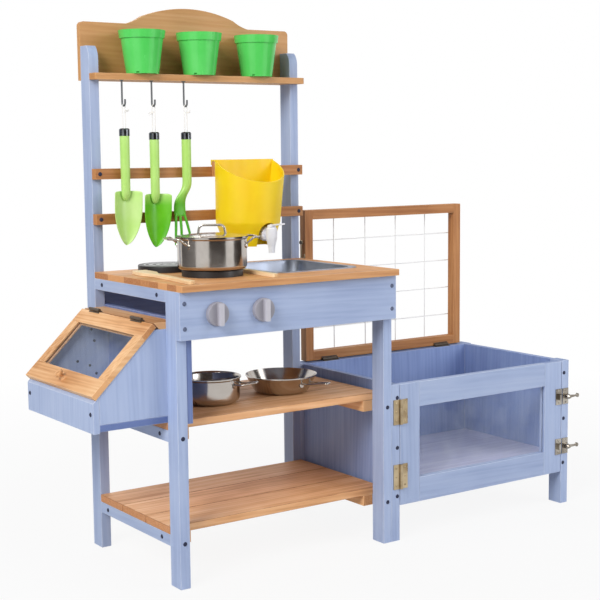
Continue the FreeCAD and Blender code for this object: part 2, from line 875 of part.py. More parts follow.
def glazed_frame(name, outer, first_rail, last_rail, stile, thick, stiles_run_through):
    """Four members round a pane that stands in their grooves.

    outer holds the frame's ends along and across, and thick its two faces.
    """
    along, across = outer
    inner_along = (along[0] + first_rail, along[1] - last_rail)
    inner_across = (across[0] + stile, across[1] - stile)
    rail_across = inner_across if stiles_run_through else across
    stile_along = along if stiles_run_through else inner_along
    members = [
        ((along[0], inner_along[0]), rail_across), ((inner_along[1], along[1]), rail_across),
        (stile_along, (across[0], inner_across[0])), (stile_along, (inner_across[1], across[1])),
    ]
    groove = S.pane_groove
    middle = (thick[0] + thick[1]) / 2
    pane = ((inner_along[0] - groove, inner_along[1] + groove),
            (inner_across[0] - groove, inner_across[1] + groove),
            (middle - S.pane_thickness / 2, middle + S.pane_thickness / 2))
    return members, pane


def build_bin_lid():
    start = -S.bin_lid_start
    along = (start - S.bin_lid_length, start)
    across = (BIN_MIDDLE - S.bin_lid_width / 2, BIN_MIDDLE + S.bin_lid_width / 2)
    thick = (-LID_UNDERSIDE, -AXIS_HEIGHT)
    members, pane = glazed_frame("BinLid", (along, across), S.bin_lid_bottom_rail, S.bin_lid_top_rail,
                                 S.bin_lid_stile, thick, False)
    frame = [cut("LidMember", board("LidBlank", x, y, thick), board("PaneGroove", *pane))
             for x, y in members]
    lid_node("bin_lid_frame", frame)
    lid_node("bin_lid_window", [board("Pane", *pane)])
    neck = S.bin_knob_neck
    height = S.bin_knob_height
    radius = S.bin_knob_radius
    knob = turned("LidKnob", [
        Corner(0, 0),
        Corner(neck + neck / 2, 0),
        Corner(neck, height / 4),
        Corner(neck, height / 2),
        Corner(radius, height * 5 / 8),
        Corner(radius, height * 3 / 4),
        Via(radius * 7 / 8, height * 15 / 16),
        Corner(radius / 2, height),
        Corner(0, height),
    ], along[0] + S.bin_lid_bottom_rail / 2, BIN_MIDDLE, -AXIS_HEIGHT)
    lid_node("bin_lid_knob", [knob])
    leaves = [hinge_leaf("BinLeaf", S.bin_hinge_length, S.bin_leaf_width, -1, True,
                         (0, y, 0, (1, 0, 0), -QUARTER_TURN)) for y in bin_hinge_places()]
    lid_node("bin_lid_hinge_leaves", leaves)


def bin_hinge_places():
    half = S.bin_lid_width / 2
    return (BIN_MIDDLE - half + S.bin_hinge_inset, BIN_MIDDLE + half - S.bin_hinge_inset)


def hinge_leaf(name, length, width, side, moving, place):
    """One leaf of a butt hinge about its own Z axis, its face towards +Y.

    The fixed leaf has the two end knuckles and the pin, the moving leaf the middle knuckle.
    """
    knuckle = length / 3
    gap = S.running_gap
    radius = S.barrel_radius
    reach = radius + gap
    face = (AXIS_HEIGHT - S.leaf_thickness, AXIS_HEIGHT)
    half = length / 2
    if side > 0:
        plate_x = (reach, reach + width)
        bridge_x = (0, reach)
    else:
        plate_x = (-reach - width, -reach)
        bridge_x = (-reach, 0)
    pieces = [board("Plate", plate_x, face, (-half, half))]
    if moving:
        spans = [(-knuckle / 2 + gap, knuckle / 2 - gap)]
    else:
        spans = [(-half, -knuckle / 2), (knuckle / 2, half)]
    for span in spans:
        pieces.append(board("Bridge", bridge_x, face, span))
        pieces.append(rod("Knuckle", radius, span[1] - span[0], 0, 0, span[0]))
    if not moving:
        pieces.append(rod("Pin", S.pin_radius, length, 0, 0, -half))
    leaf = fuse(name, *pieces)
    if moving:
        leaf = cut(name, leaf, rod("Bore", S.pin_radius + gap, length, 0, 0, -half))
    return put(leaf, *place)


# The planter box, its door and its lid
PLANTER_LEFT = RIGHT
PLANTER_RIGHT = PLANTER_LEFT + S.planter_width
PLANTER_INNER = (PLANTER_LEFT + S.leg_width, PLANTER_RIGHT - S.leg_width)
PLANTER_BACK_FACE = POST_FRONT + S.planter_board
PLANTER_MIDDLE = PLANTER_LEFT + S.planter_width / 2
DOOR_X = (PLANTER_INNER[0] + S.door_gap, PLANTER_INNER[1] - S.door_gap)
DOOR_Z = (S.planter_bottom, S.planter_height - S.door_top_gap)
DOOR_AXIS = (DOOR_X[0], -AXIS_HEIGHT)
MESH_AXIS = (PLANTER_BACK_FACE - S.barrel_radius, S.planter_height + AXIS_HEIGHT)
MESH_FRONT = MESH_AXIS[0] + AXIS_HEIGHT
MESH_X = (PLANTER_MIDDLE - S.mesh_lid_width / 2, PLANTER_MIDDLE + S.mesh_lid_width / 2)
MESH_Z = (S.planter_height + S.mesh_lid_start, S.mesh_lid_top)
LATCH_X = PLANTER_INNER[1] + S.leg_width / 2


def build_planter():
    height = (0, S.planter_height)
    leg_x = ((PLANTER_LEFT, PLANTER_INNER[0]), (PLANTER_INNER[1], PLANTER_RIGHT))
    leg_y = ((0, S.leg_depth), (POST_FRONT, BACK))
    node("planter_legs", [board("PlanterLeg", x, y, height) for x in leg_x for y in leg_y])
    wall_z = (S.planter_bottom, S.planter_height)
    left, right = PLANTER_INNER
    walls = [
        board("SideWall", (left - S.planter_board, left), BETWEEN_LEGS, wall_z),
        board("SideWall", (right, right + S.planter_board), BETWEEN_LEGS, wall_z),
        board("BackWall", PLANTER_INNER, (POST_FRONT, PLANTER_BACK_FACE), wall_z),
        board("LidRest", PLANTER_INNER, (PLANTER_BACK_FACE, BACK),
              (S.planter_height - S.lid_rest_height, S.planter_height)),
    ]
    node("planter_walls", walls)
    floor = board("PlanterFloor", PLANTER_INNER, (S.door_thickness + S.door_gap, POST_FRONT),
                  (S.planter_floor_top - S.planter_floor_thickness, S.planter_floor_top))
    node("planter_floor", [floor])


def door_hinge_heights():
    return (S.door_hinge_upper, S.door_hinge_lower)


def build_door():
    thick = (0, S.door_thickness)
    members, pane = glazed_frame("Door", (DOOR_Z, DOOR_X), S.door_member, S.door_member,
                                 S.door_member, thick, True)
    groove = (pane[1], pane[2], pane[0])
    frame = [cut("DoorMember", board("DoorBlank", x, thick, z), board("PaneGroove", *groove))
             for z, x in members]
    node("door_frame", frame)
    node("door_window", [board("Pane", *groove)])
    leaves = [hinge_leaf("DoorLeaf", S.door_hinge_length, S.door_leaf_width, 1, True,
                         (DOOR_AXIS[0], DOOR_AXIS[1], z)) for z in door_hinge_heights()]
    node("door_hinge_leaves", leaves)
    keepers = []
    for z in (S.latch_upper, S.latch_lower):
        right = DOOR_X[1]
        half = S.latch_plate_height / 2
        plate = board("KeeperPlate", (right - S.latch_plate_width, right),
                      (-S.leaf_thickness, 0), (z - half, z + half))
        middle = right - S.latch_plate_width / 2
        lug = board("KeeperLug", (middle - S.keeper_lug_width / 2, middle + S.keeper_lug_width / 2),
                    (-S.leaf_thickness - S.latch_boss_height, -S.leaf_thickness),
                    (z - S.keeper_lug_height / 2, z + S.keeper_lug_height / 2))
        keepers.append(fuse("Keeper", plate, lug))
    node("latch_keepers", keepers)


def build_latches():
    plates = []
    width = S.latch_plate_width / 2
    half = S.latch_plate_height / 2
    for z in (S.latch_upper, S.latch_lower):
        plate = board("LatchPlate", (LATCH_X - width, LATCH_X + width), (-S.leaf_thickness, 0),
                      (z - half, z + half))
        boss = rod("LatchBoss", S.latch_boss_radius, S.latch_boss_height,
                   LATCH_X, -S.leaf_thickness, z, "-Y")
        plates.append(fuse("LatchBase", plate, boss))
    node("latch_plates", plates)
    face = S.leaf_thickness + S.latch_boss_height + S.running_gap
    root = S.latch_arm_width / 2
    tip = S.latch_tip_radius
    waist = root / 2
    outline = [
        Corner(0, -root),
        Corner(S.latch_arm_length - tip - tip, -waist),
        Corner(S.latch_arm_length - tip, -tip),
        Via(S.latch_arm_length, 0),
        Corner(S.latch_arm_length - tip, tip),
        Corner(S.latch_arm_length - tip - tip, waist),
        Corner(0, root),
    ]
    hub = [
        Corner(0, 0),
        Corner(S.latch_hub_radius, 0),
        Corner(S.latch_hub_radius, S.latch_hub_height / 2),
        Corner(S.latch_hub_radius * 3 / 5, S.latch_hub_height),
        Corner(0, S.latch_hub_height),
    ]
    for label, z in (("latch_wing_upper", S.latch_upper), ("latch_wing_lower", S.latch_lower)):
        arm = padded("WingArm", "XZ", [outline], -S.latch_arm_thickness, S.latch_arm_thickness)
        wing = fuse("Wing", arm, turned("WingHub", hub, 0, 0, 0, "-Y"))
        node(label, [wing], LATCH_X, -face, z)


def build_mesh_lid():
    member = S.mesh_member
    thick = (MESH_FRONT, MESH_FRONT + member)
    left, right = MESH_X
    low, high = MESH_Z
    frame = [
        board("LidStile", (left, left + member), thick, MESH_Z),
        board("LidStile", (right - member, right), thick, MESH_Z),
        board("LidRail", (left + member, right - member), thick, (low, low + member)),
        board("LidRail", (left + member, right - member), thick, (high - member, high)),
    ]
    node("mesh_lid_frame", frame)
    wire = S.mesh_wire_radius
    inset = S.mesh_inset
    wires = []
    for number in range(MESH_BARS):
        share = number / (MESH_BARS - 1)
        x = left + inset + (right - left - 2 * inset) * share
        z = low + inset + (high - low - 2 * inset) * share
        wires.append(rod("UprightWire", wire, high - low - 2 * inset + 2 * wire, x, thick[1] + wire,
                         low + inset - wire))
        wires.append(rod("LevelWire", wire, right - left - 2 * inset + 2 * wire, left + inset - wire,
                         thick[1] + 3 * wire, z, "X"))
    node("mesh_lid_wires", wires)
    leaves = [hinge_leaf("LidLeaf", S.lid_hinge_length, S.lid_moving_leaf_width, -1, True,
                         (x, MESH_AXIS[0], MESH_AXIS[1], (0, 1, 0), QUARTER_TURN))
              for x in mesh_hinge_places()]
    screw_y = MESH_FRONT + member / 2
    shank = rod("HookScrew", S.hook_wire_radius, S.lid_hook_reach, left, screw_y, S.lid_hook_height, "-X")
    head = rod("HookScrewHead", S.screw_head_radius, S.screw_head_height, left - S.lid_hook_reach, screw_y,
               S.lid_hook_height, "-X")
    node("mesh_lid_fittings", leaves + [fuse("HookPivot", shank, head)])
    ring = S.hook_wire_radius + S.running_gap + S.hook_eye_radius
    eye = DOC.addObject("Part::Torus", "HookEye")
    bind(eye, "Radius1", ring)
    bind(eye, "Radius2", S.hook_eye_radius)
    put(eye, 0, 0, 0, *ALONG["X"])
    length = S.lid_hook_length
    bend = S.lid_hook_bend
    shaft = bent_rod("HookShaft", [(0, 0, -ring), (0, 0, -length), (0, -2 * bend, -length),
                                   (0, -2 * bend, bend * 2 - length)], [bend, bend], S.hook_wire_radius)
    hook = fuse("LidHook", eye, shaft)
    node("mesh_lid_hook", [hook], left - S.lid_hook_reach / 2, screw_y, S.lid_hook_height)


def mesh_hinge_places():
    return (MESH_X[0] + S.lid_hinge_inset, MESH_X[1] - S.lid_hinge_inset)


def build_fixed_leaves():
    leaves = [hinge_leaf("BinFixedLeaf", S.bin_hinge_length, S.bin_leaf_width, 1, False,
                         (BIN_HINGE_X, y, BIN_HINGE_Z, (1, 0, 0), -QUARTER_TURN))
              for y in bin_hinge_places()]
    leaves += [hinge_leaf("DoorFixedLeaf", S.door_hinge_length, S.door_leaf_width, -1, False,
                          (DOOR_AXIS[0], DOOR_AXIS[1], z)) for z in door_hinge_heights()]
    for x in mesh_hinge_places():
        leaf = hinge_leaf("LidFixedLeaf", S.lid_hinge_length, S.lid_fixed_leaf_width, 1, False, (0, 0, 0))
        flat = DOC.addObject("Part::Compound", "LeafOnWall")
        flat.Links = [put(leaf, 0, 0, 0, (0, 0, 1), -QUARTER_TURN)]
        leaves.append(put(flat, x, MESH_AXIS[0], MESH_AXIS[1], (0, 1, 0), QUARTER_TURN))
    node("fixed_hinge_leaves", leaves)


def build_knobs():
    radius = S.knob_radius
    base = S.knob_base_thickness
    disc = [
        Corner(0, 0),
        Corner(radius, 0),
        Corner(radius, base, S.knob_edge_radius),
        Corner(0, base),
    ]
    half = S.knob_grip_width / 2
    edge = S.knob_edge_radius
    grip = rectangle((-half, half), (edge - radius, radius - edge), edge)
    reach = S.knob_reach - S.rest_gap
    height = LEG_TOP - S.apron_height / 2
    for label, x in (("knob_left", S.left_knob_x), ("knob_right", S.left_knob_x + S.knob_spacing)):
        base_disc = turned("KnobDisc", disc, 0, 0, 0, "-Y")
        bar = padded("KnobGrip", "XZ", [grip], -reach, reach - base)
        node(label, [fuse("Knob", base_disc, bar)], x, -S.apron_thickness - S.rest_gap, height)


def build_plant_pots():
    radius = S.plant_pot_radius
    foot = S.plant_pot_foot_radius
    height = S.plant_pot_height
    wall = S.plant_pot_wall
    step = S.plant_pot_band_step
    band = height - S.plant_pot_band
    taper = (radius - step - foot) / height
    under_band = foot + taper * band
    profile = [
        Corner(0, 0),
        Corner(foot, 0),
        Corner(under_band, band),
        Corner(under_band + step, band),
        Corner(radius, height),
        Corner(radius - wall, height),
        Corner(under_band + step - wall, band + wall),
        Corner(under_band - wall, band + wall),
        Corner(foot - wall, wall),
        Corner(0, wall),
    ]
    places = (
        ("plant_pot_left", S.left_plant_pot_x),
        ("plant_pot_middle", S.middle_plant_pot_x),
        ("plant_pot_right", S.right_plant_pot_x),
    )
    for label, x in places:
        body = turned("PlantPot", profile)
        holes = sketch_on(body, "XY")
        circle(holes, foot * DIAGONAL_SHARE, foot * DIAGONAL_SHARE, S.plant_pot_hole_radius)
        pocket = body.newObject("PartDesign::Pocket", "DrainHole")
        pocket.Profile = holes
        bind(pocket, "Length", 2 * wall)
        pocket.Reversed = True
        ring = body.newObject("PartDesign::PolarPattern", "DrainHoles")
        ring.Originals = [pocket]
        ring.Axis = (holes, ["N_Axis"])
        ring.Angle = 2 * HALF_TURN
        ring.Occurrences = PLANT_POT_HOLES
        body.Tip = ring
        node(label, [body], x, S.plant_pot_y - S.rest_gap, S.top_shelf_height + S.rest_gap)


def pot_profile(radius, base, height, foot):
    """The section of a sheet steel pot with a rounded foot and a rim turned outwards."""
    wall = S.pot_wall
    rim = S.pot_rim_reach
    lip = S.pot_rim_height
    return [
        Corner(0, 0),
        Corner(base, 0, foot),
        Corner(radius, height - lip - rim),
        Corner(radius + rim, height - lip),
        Corner(radius + rim, height),
        Corner(radius + rim - wall, height),
        Corner(radius - wall, height - lip - rim),
        Corner(base - wall, wall, foot - wall),
        Corner(0, wall),
    ]


def wall_pads(name, radius, places, height):
    """Round pads that hold a wire grip on a pot's wall, at angles from the X axis."""
    pads = []
    for angle in places:
        pad = rod(name, S.grip_pad_radius, S.grip_pad_thickness + S.pot_wall, radius - S.pot_wall / 2, 0,
                  height, "X")
        holder = DOC.addObject("Part::Compound", name)
        holder.Links = [pad]
        holder.Placement.Rotation = FreeCAD.Rotation(FreeCAD.Vector(0, 0, 1), angle)
        pads.append(holder)
    return pads


def build_cooking_pot():
    radius = S.pot_radius
    height = S.pot_height
    half = S.pot_grip_half_width
    low = height - S.pot_grip_drop
    wire = S.pot_grip_radius
    high = height - wire
    reach = radius + S.pot_grip_reach
    root = radius * 6 / 7
    shell = turned("PotShell", pot_profile(radius, radius, height, S.pot_foot_radius))
    pieces = [shell]
    spread = math.degrees(math.asin(float(half) / float(radius)))
    for angle in POT_GRIP_ANGLES:
        bend = wire * 3
        grip = bent_rod("PotGrip", [
            (root, half, low), (radius + wire * 3, half, high), (reach, half / 2, high),
            (reach, -half / 2, high), (radius + wire * 3, -half, high), (root, -half, low),
        ], [bend, bend, bend, bend], wire)
        turn = FreeCAD.Rotation(FreeCAD.Vector(0, 0, 1), angle)
        grip.Placement = FreeCAD.Placement(FreeCAD.Vector(), turn)
        pieces.append(grip)
        pieces += wall_pads("PotPad", radius, (angle - spread, angle + spread), low - wire)
    base = S.worktop_height + S.hob_thickness + S.rest_gap
    outside = fuse("PotOutside", *pieces)
    cavity = turned("PotCavity", [
        Corner(0, S.pot_wall),
        Corner(radius - S.pot_wall, S.pot_wall, S.pot_foot_radius - S.pot_wall),
        Corner(radius - S.pot_wall, height - S.pot_rim_reach - S.pot_rim_height),
        Corner(0, height - S.pot_rim_reach - S.pot_rim_height),
    ])
    node("cooking_pot", [cut("CookingPot", outside, cavity)], S.front_hob_x, S.front_hob_y, base)
    sheet = S.pot_lid_sheet
    rim = radius + S.pot_rim_reach
    plug = radius - S.pot_wall - S.pot_lid_sheet
    rise = S.pot_lid_rise
    cover = turned("LidDisc", [
        Corner(0, rise),
        Corner(plug / 6, rise),
        Via(plug * 5 / 8, rise * 5 / 8),
        Corner(plug - sheet, 0),
        Corner(plug - sheet, -S.pot_lid_plug),
        Corner(plug, -S.pot_lid_plug),
        Corner(plug, 0),
        Corner(rim, 0),
        Corner(rim, sheet),
        Corner(plug, sheet),
        Via(plug * 5 / 8, rise * 5 / 8 + sheet),
        Corner(plug / 6, rise + sheet),
        Corner(0, rise + sheet),
    ])
    wide = S.pot_strap_length / 2
    top = rise + sheet + S.pot_strap_height
    bend = S.pot_strap_height * 3 / 5
    strap = bent_rod("Strap", [(-wide, 0, sheet * 3), (-wide + bend / 3, 0, top),
                               (wide - bend / 3, 0, top), (wide, 0, sheet * 3)], [bend, bend],
                     S.pot_strap_radius)
    node("pot_lid", [fuse("PotLid", cover, strap)], S.front_hob_x, S.front_hob_y,
         base + height + S.rest_gap, (0, 0, 1), POT_STRAP_ANGLE)


def build_pan(label, radius, base, height, foot, handle, x, y, angle):
    """A pan whose handle is one wire bent to a narrow loop, seen along the X axis before turning."""
    wire = S.pan_handle_radius
    low = height - S.pan_handle_drop
    half = S.pan_handle_spread
    tip = S.pan_handle_tip
    wall = S.pot_wall
    side = base + (radius - base) * low / height
    shell = turned("PanShell", pot_profile(radius, base, height, foot))
    end = radius + handle
    loop = bent_rod("PanHandle", [
        (side - wall, half, low), (side + half, half, low), (end, tip, low + tip),
        (end, -tip, low + tip), (side + half, -half, low), (side - wall, -half, low),
    ], [half, tip - wire / 2, tip - wire / 2, half], wire)
    spread = math.degrees(math.asin(float(half) / float(side)))
    pads = wall_pads("PanPad", side, (-spread, spread), low - wire)
    cavity = turned("PanCavity", [
        Corner(0, wall),
        Corner(base - wall, wall, foot - wall),
        Corner(radius - wall, height - S.pot_rim_reach - S.pot_rim_height),
        Corner(0, height - S.pot_rim_reach - S.pot_rim_height),
    ])
    pan = cut("Pan", fuse("PanOutside", shell, loop, *pads), cavity)
    node(label, [pan], x, y, S.middle_shelf_height + S.rest_gap, (0, 0, 1), angle)


def build_pans():
    build_pan("saucepan", S.saucepan_radius, S.saucepan_radius, S.saucepan_height, S.saucepan_foot_radius,
              S.saucepan_handle, S.saucepan_x, S.saucepan_y, SAUCEPAN_ANGLE)
    build_pan("frying_pan", S.frying_pan_radius, S.frying_pan_base_radius, S.frying_pan_height,
              S.frying_pan_foot_radius, S.frying_pan_handle, S.frying_pan_x, S.frying_pan_y,
              FRYING_PAN_ANGLE)


# The water container hangs by its hooked rim on the hanger block
CONTAINER_BACK = HANGER_FRONT - S.rest_gap
TAP_SEAT = CONTAINER_BACK - S.tap_seat_depth
TAP_FRONT = TAP_SEAT - S.tap_reach


def d_outline(left, width, depth, back):
    """A flat back with a round front."""
    return [Corner(left, back), Via(left + width / 2, back - depth), Corner(left + width, back)]


def build_container():
    wall = S.container_wall
    top = S.container_top
    back = CONTAINER_BACK
    left = S.container_left
    foot_left = left + S.container_foot_left
    depth = S.container_depth
    sections = [
        (S.container_bottom, foot_left, S.container_foot_width, S.container_foot_depth),
        (S.container_waist, left, S.container_waist_width, depth - S.container_foot_left / 3),
        (top, left, S.container_width, depth),
    ]
    outside = lofted("ContainerOutside", [(z, d_outline(x, width, deep, back))
                                          for z, x, width, deep in sections])
    inner = [(z, d_outline(x + wall, width - 2 * wall, deep - 2 * wall, back - wall))
             for z, x, width, deep in sections]
    inner[0] = (S.container_bottom + wall, inner[0][1])
    inner.append((top + S.overrun, inner[2][1]))
    inside = lofted("ContainerInside", inner)
    front = back - depth
    slope = padded("RimSlope", "YZ", [[
        Corner(back - wall, top),
        Corner(front, S.container_front_top),
        Corner(front - S.overrun, S.container_front_top),
        Corner(front - S.overrun, top + S.overrun),
        Corner(back - wall, top + S.overrun),
    ]], left - S.overrun, S.container_width + 2 * S.overrun)
    arch = [tap_arch("TapArch", gap) for gap in (0, wall)]
    hook_back = RAIL_FRONT + S.rest_gap
    hanger_top = S.upper_rail_height - S.rail_height + S.container_hanger_height
    lip = padded("HangingLip", "YZ", [[
        Corner(back - wall, top - wall),
        Corner(back, top - wall),
        Corner(back, hanger_top + S.rest_gap),
        Corner(hook_back, hanger_top + S.rest_gap),
        Corner(hook_back, hanger_top - S.container_hook_drop),
        Corner(hook_back + wall, hanger_top - S.container_hook_drop),
        Corner(hook_back + wall, top + wall),
        Corner(back - wall, top + wall),
    ]], left, S.container_width)
    hollow = cut("ContainerHollow", inside, arch[1])
    shell = cut("ContainerShell", outside, hollow, arch[0], slope)
    node("water_container", [fuse("Container", shell, lip)])


def tap_arch(name, gap):
    """The arched recess behind the tap, widened by a gap."""
    half = S.container_recess_radius + gap
    x = S.tap_x
    low = S.container_bottom - S.overrun
    front = CONTAINER_BACK - S.container_depth - S.overrun
    outline = [
        Corner(x - half, low), Corner(x + half, low), Corner(x + half, S.tap_height),
        Via(x, S.tap_height + half), Corner(x - half, S.tap_height),
    ]
    return padded(name, "XZ", [outline], front, TAP_SEAT + gap - front)


def build_tap():
    x = S.tap_x
    z = S.tap_height
    edge = S.tap_nut_length / 4
    nut = turned("TapNut", [
        Corner(0, 0), Corner(S.tap_nut_radius, 0), Corner(S.tap_nut_radius, S.tap_nut_length - edge),
        Corner(S.tap_nut_radius - edge, S.tap_nut_length), Corner(0, S.tap_nut_length),
    ], x, TAP_SEAT, z, "-Y")
    barrel = rod("TapBarrel", S.tap_barrel_radius, S.tap_reach, x, TAP_SEAT, z, "-Y")
    radius = S.tap_body_radius
    spout = S.tap_spout_radius
    low = -S.tap_body_drop
    bore = spout * 2 / 3
    valve = turned("TapValve", [
        Corner(bore, low - S.tap_spout_length),
        Corner(spout, low - S.tap_spout_length),
        Corner(spout + edge / 2, low),
        Corner(radius, low / 4),
        Corner(radius, S.tap_body_height - S.tap_body_drop - edge),
        Corner(radius - edge, S.tap_body_height - S.tap_body_drop),
        Corner(0, S.tap_body_height - S.tap_body_drop),
        Corner(0, low),
        Corner(bore, low),
    ], x, TAP_FRONT, z)
    node("tap_body", [fuse("Tap", nut, barrel, valve)])
    dome = S.tap_dome_radius
    thick = S.tap_lever_thickness
    crown = turned("LeverCrown", [
        Corner(0, 0), Corner(dome, 0), Corner(dome, dome / 2, dome / 3), Corner(0, dome * 4 / 5),
    ], 0, -dome, 0)
    half = S.tap_lever_width / 2
    arm = padded("LeverArm", "YZ", [[
        Corner(-dome, dome / 3),
        Corner(-dome - S.tap_lever_length, dome / 3 + S.tap_lever_lift),
        Corner(-dome - S.tap_lever_length, dome / 3 + S.tap_lever_lift + thick, thick / 3),
        Corner(-dome, dome / 3 + thick),
    ]], -half, S.tap_lever_width)
    top = z + S.tap_body_height - S.tap_body_drop
    node("tap_lever", [fuse("Lever", crown, arm)], x, TAP_FRONT + dome, top + S.running_gap)


# Tools hang by loops of string from hooks under the high shelf
HOOK_LOW = TOP_SHELF_UNDERSIDE - S.tool_hook_drop + S.tool_hook_radius
TOOL_Y = S.tool_hook_y - S.tool_hook_bend
STRING_TURN = S.tool_hook_radius + S.string_radius + S.running_gap


def tool_places():
    return (
        ("light", S.first_tool_x, S.first_string_drop),
        ("green", S.second_tool_x, S.second_string_drop),
        ("fork", S.third_tool_x, S.third_string_drop),
    )


def build_hooks():
    hooks = []
    bend = S.tool_hook_bend
    wire = S.tool_hook_radius
    for _, x, _ in tool_places():
        far = S.tool_hook_y
        near = far - 2 * bend
        bar = bent_rod("HookBar", [(x, far, TOP_SHELF_UNDERSIDE), (x, far, HOOK_LOW), (x, near, HOOK_LOW),
                                   (x, near, HOOK_LOW + S.tool_hook_tip)], [bend, bend], wire)
        flange = turned("HookFlange", [
            Corner(0, 0), Corner(S.tool_hook_flange, 0), Corner(wire, S.tool_hook_flange / 2),
            Corner(0, S.tool_hook_flange / 2),
        ], x, far, TOP_SHELF_UNDERSIDE, "-Z")
        hooks.append(fuse("ToolHook", bar, flange))
    node("tool_hooks", hooks)


def tool_handle():
    """The handle, from just under the cap to its point inside the blade."""
    radius = S.tool_handle_radius
    cap = S.tool_cap_length
    end = S.tool_handle_length
    return turned("ToolHandle", [
        Corner(0, -cap),
        Corner(radius * 9 / 10, -cap),
        Corner(radius, -end / 2),
        Corner(radius * 9 / 10, -end),
        Corner(radius / 5, -end - radius * 5 / 2),
        Corner(0, -end - radius * 5 / 2),
    ])


def tool_cap():
    """The cap with the blind hole that holds the ends of the string."""
    radius = S.tool_cap_radius
    hole = STRING_TURN + S.string_radius + S.running_gap
    depth = S.tool_cap_hole_depth
    return turned("ToolCap", [
        Corner(hole, 0),
        Corner(radius * 4 / 5, 0),
        Corner(radius, -radius / 5),
        Corner(radius, -S.tool_cap_length),
        Corner(0, -S.tool_cap_length),
        Corner(0, -depth),
        Corner(hole, -depth),
    ])


def trowel_blade():
    width = S.trowel_width / 2
    top = -S.tool_length + S.trowel_length
    outline = [
        Corner(-width, top),
        Via(0, top - width / 6),
        Corner(width, top),
        Corner(width * 15 / 16, top - S.trowel_length / 2),
        Via(width * 5 / 8, top - S.trowel_length * 4 / 5),
        Corner(0, -S.tool_length),
        Via(-width * 5 / 8, top - S.trowel_length * 4 / 5),
        Corner(-width * 15 / 16, top - S.trowel_length / 2),
    ]
    plate = padded("BladeOutline", "XZ", [outline], -S.trowel_width, 2 * S.trowel_width)
    radius = S.trowel_curve_radius
    center = S.trowel_set_back - radius
    round_bar = rod("BladeOutside", radius, S.tool_length, 0, center, -S.tool_length - S.overrun)
    core = rod("BladeInside", radius - S.trowel_sheet, S.tool_length + 2 * S.overrun, 0, center,
               -S.tool_length - 2 * S.overrun)
    shell = cut("BladeShell", round_bar, core)
    return common("Blade", plate, shell)


def fork_tines():
    half = S.fork_width / 2
    tine = S.fork_tine
    neck = S.fork_neck / 2
    top = -S.tool_handle_length
    root = top - S.fork_root
    tip = -S.tool_length
    slot = (half - tine * 3 / 2) / 2
    inner = tine / 2
    outline = [
        Corner(-neck, top),
        Corner(neck, top),
        Corner(half, root),
        Corner(half, tip),
        Corner(half - tine, tip + tine),
        Corner(half - tine, root),
        Corner(half - tine - slot, root + slot),
        Corner(inner, root),
        Corner(inner, tip + tine),
        Corner(0, tip),
        Corner(-inner, tip + tine),
        Corner(-inner, root),
        Corner(tine - half + slot, root + slot),
        Corner(tine - half, root),
        Corner(tine - half, tip + tine),
        Corner(-half, tip),
        Corner(-half, root),
    ]
    plate = padded("ForkOutline", "XZ", [outline], -S.fork_width, 2 * S.fork_width)
    radius = S.fork_curve_radius
    center = S.fork_set_back - radius
    middle = (top + tip) / 2
    round_bar = rod("ForkOutside", radius, S.fork_width + 2 * S.overrun, -half - S.overrun, center,
                    middle, "X")
    core = rod("ForkInside", radius - S.fork_sheet, S.fork_width + 4 * S.overrun, -half - 2 * S.overrun,
               center, middle, "X")
    shell = cut("ForkShell", round_bar, core)
    return common("Tines", plate, shell)


def string_loop(drop):
    """The string from the cap's hole over the hook and back, with its knot."""
    turn = STRING_TURN
    low = -S.tool_cap_hole_depth
    points = [(-turn, 0, low), (-turn, 0, drop + turn), (turn, 0, drop + turn), (turn, 0, low)]
    tube = bent_rod("StringLoop", points, [turn, turn], S.string_radius)
    length = float(2 * (drop - low)) + math.pi * float(turn)
    section = math.pi * float(S.string_radius) ** 2
    print("string bend radius", round(float(turn), 2), "length", round(length, 1),
          "section x length", round(section * length, 2), "volume", round(tube.Shape.Volume, 2))
    knot = DOC.addObject("Part::Sphere", "Knot")
    bind(knot, "Radius", S.string_radius * 2)
    put(knot, -turn, 0, drop * 3 / 4)
    return fuse("String", tube, knot)


def build_tools():
    makers = {"light": trowel_blade, "green": trowel_blade, "fork": fork_tines}
    labels = {"light": "trowel_light", "green": "trowel_green", "fork": "hand_fork"}
    for name, x, drop in tool_places():
        place = (x, TOOL_Y, HOOK_LOW - drop)
        node(labels[name], [fuse("Tool", tool_handle(), makers[name]()), tool_cap()], *place)
        node("string_loop_{}".format(name), [string_loop(drop)], *place)


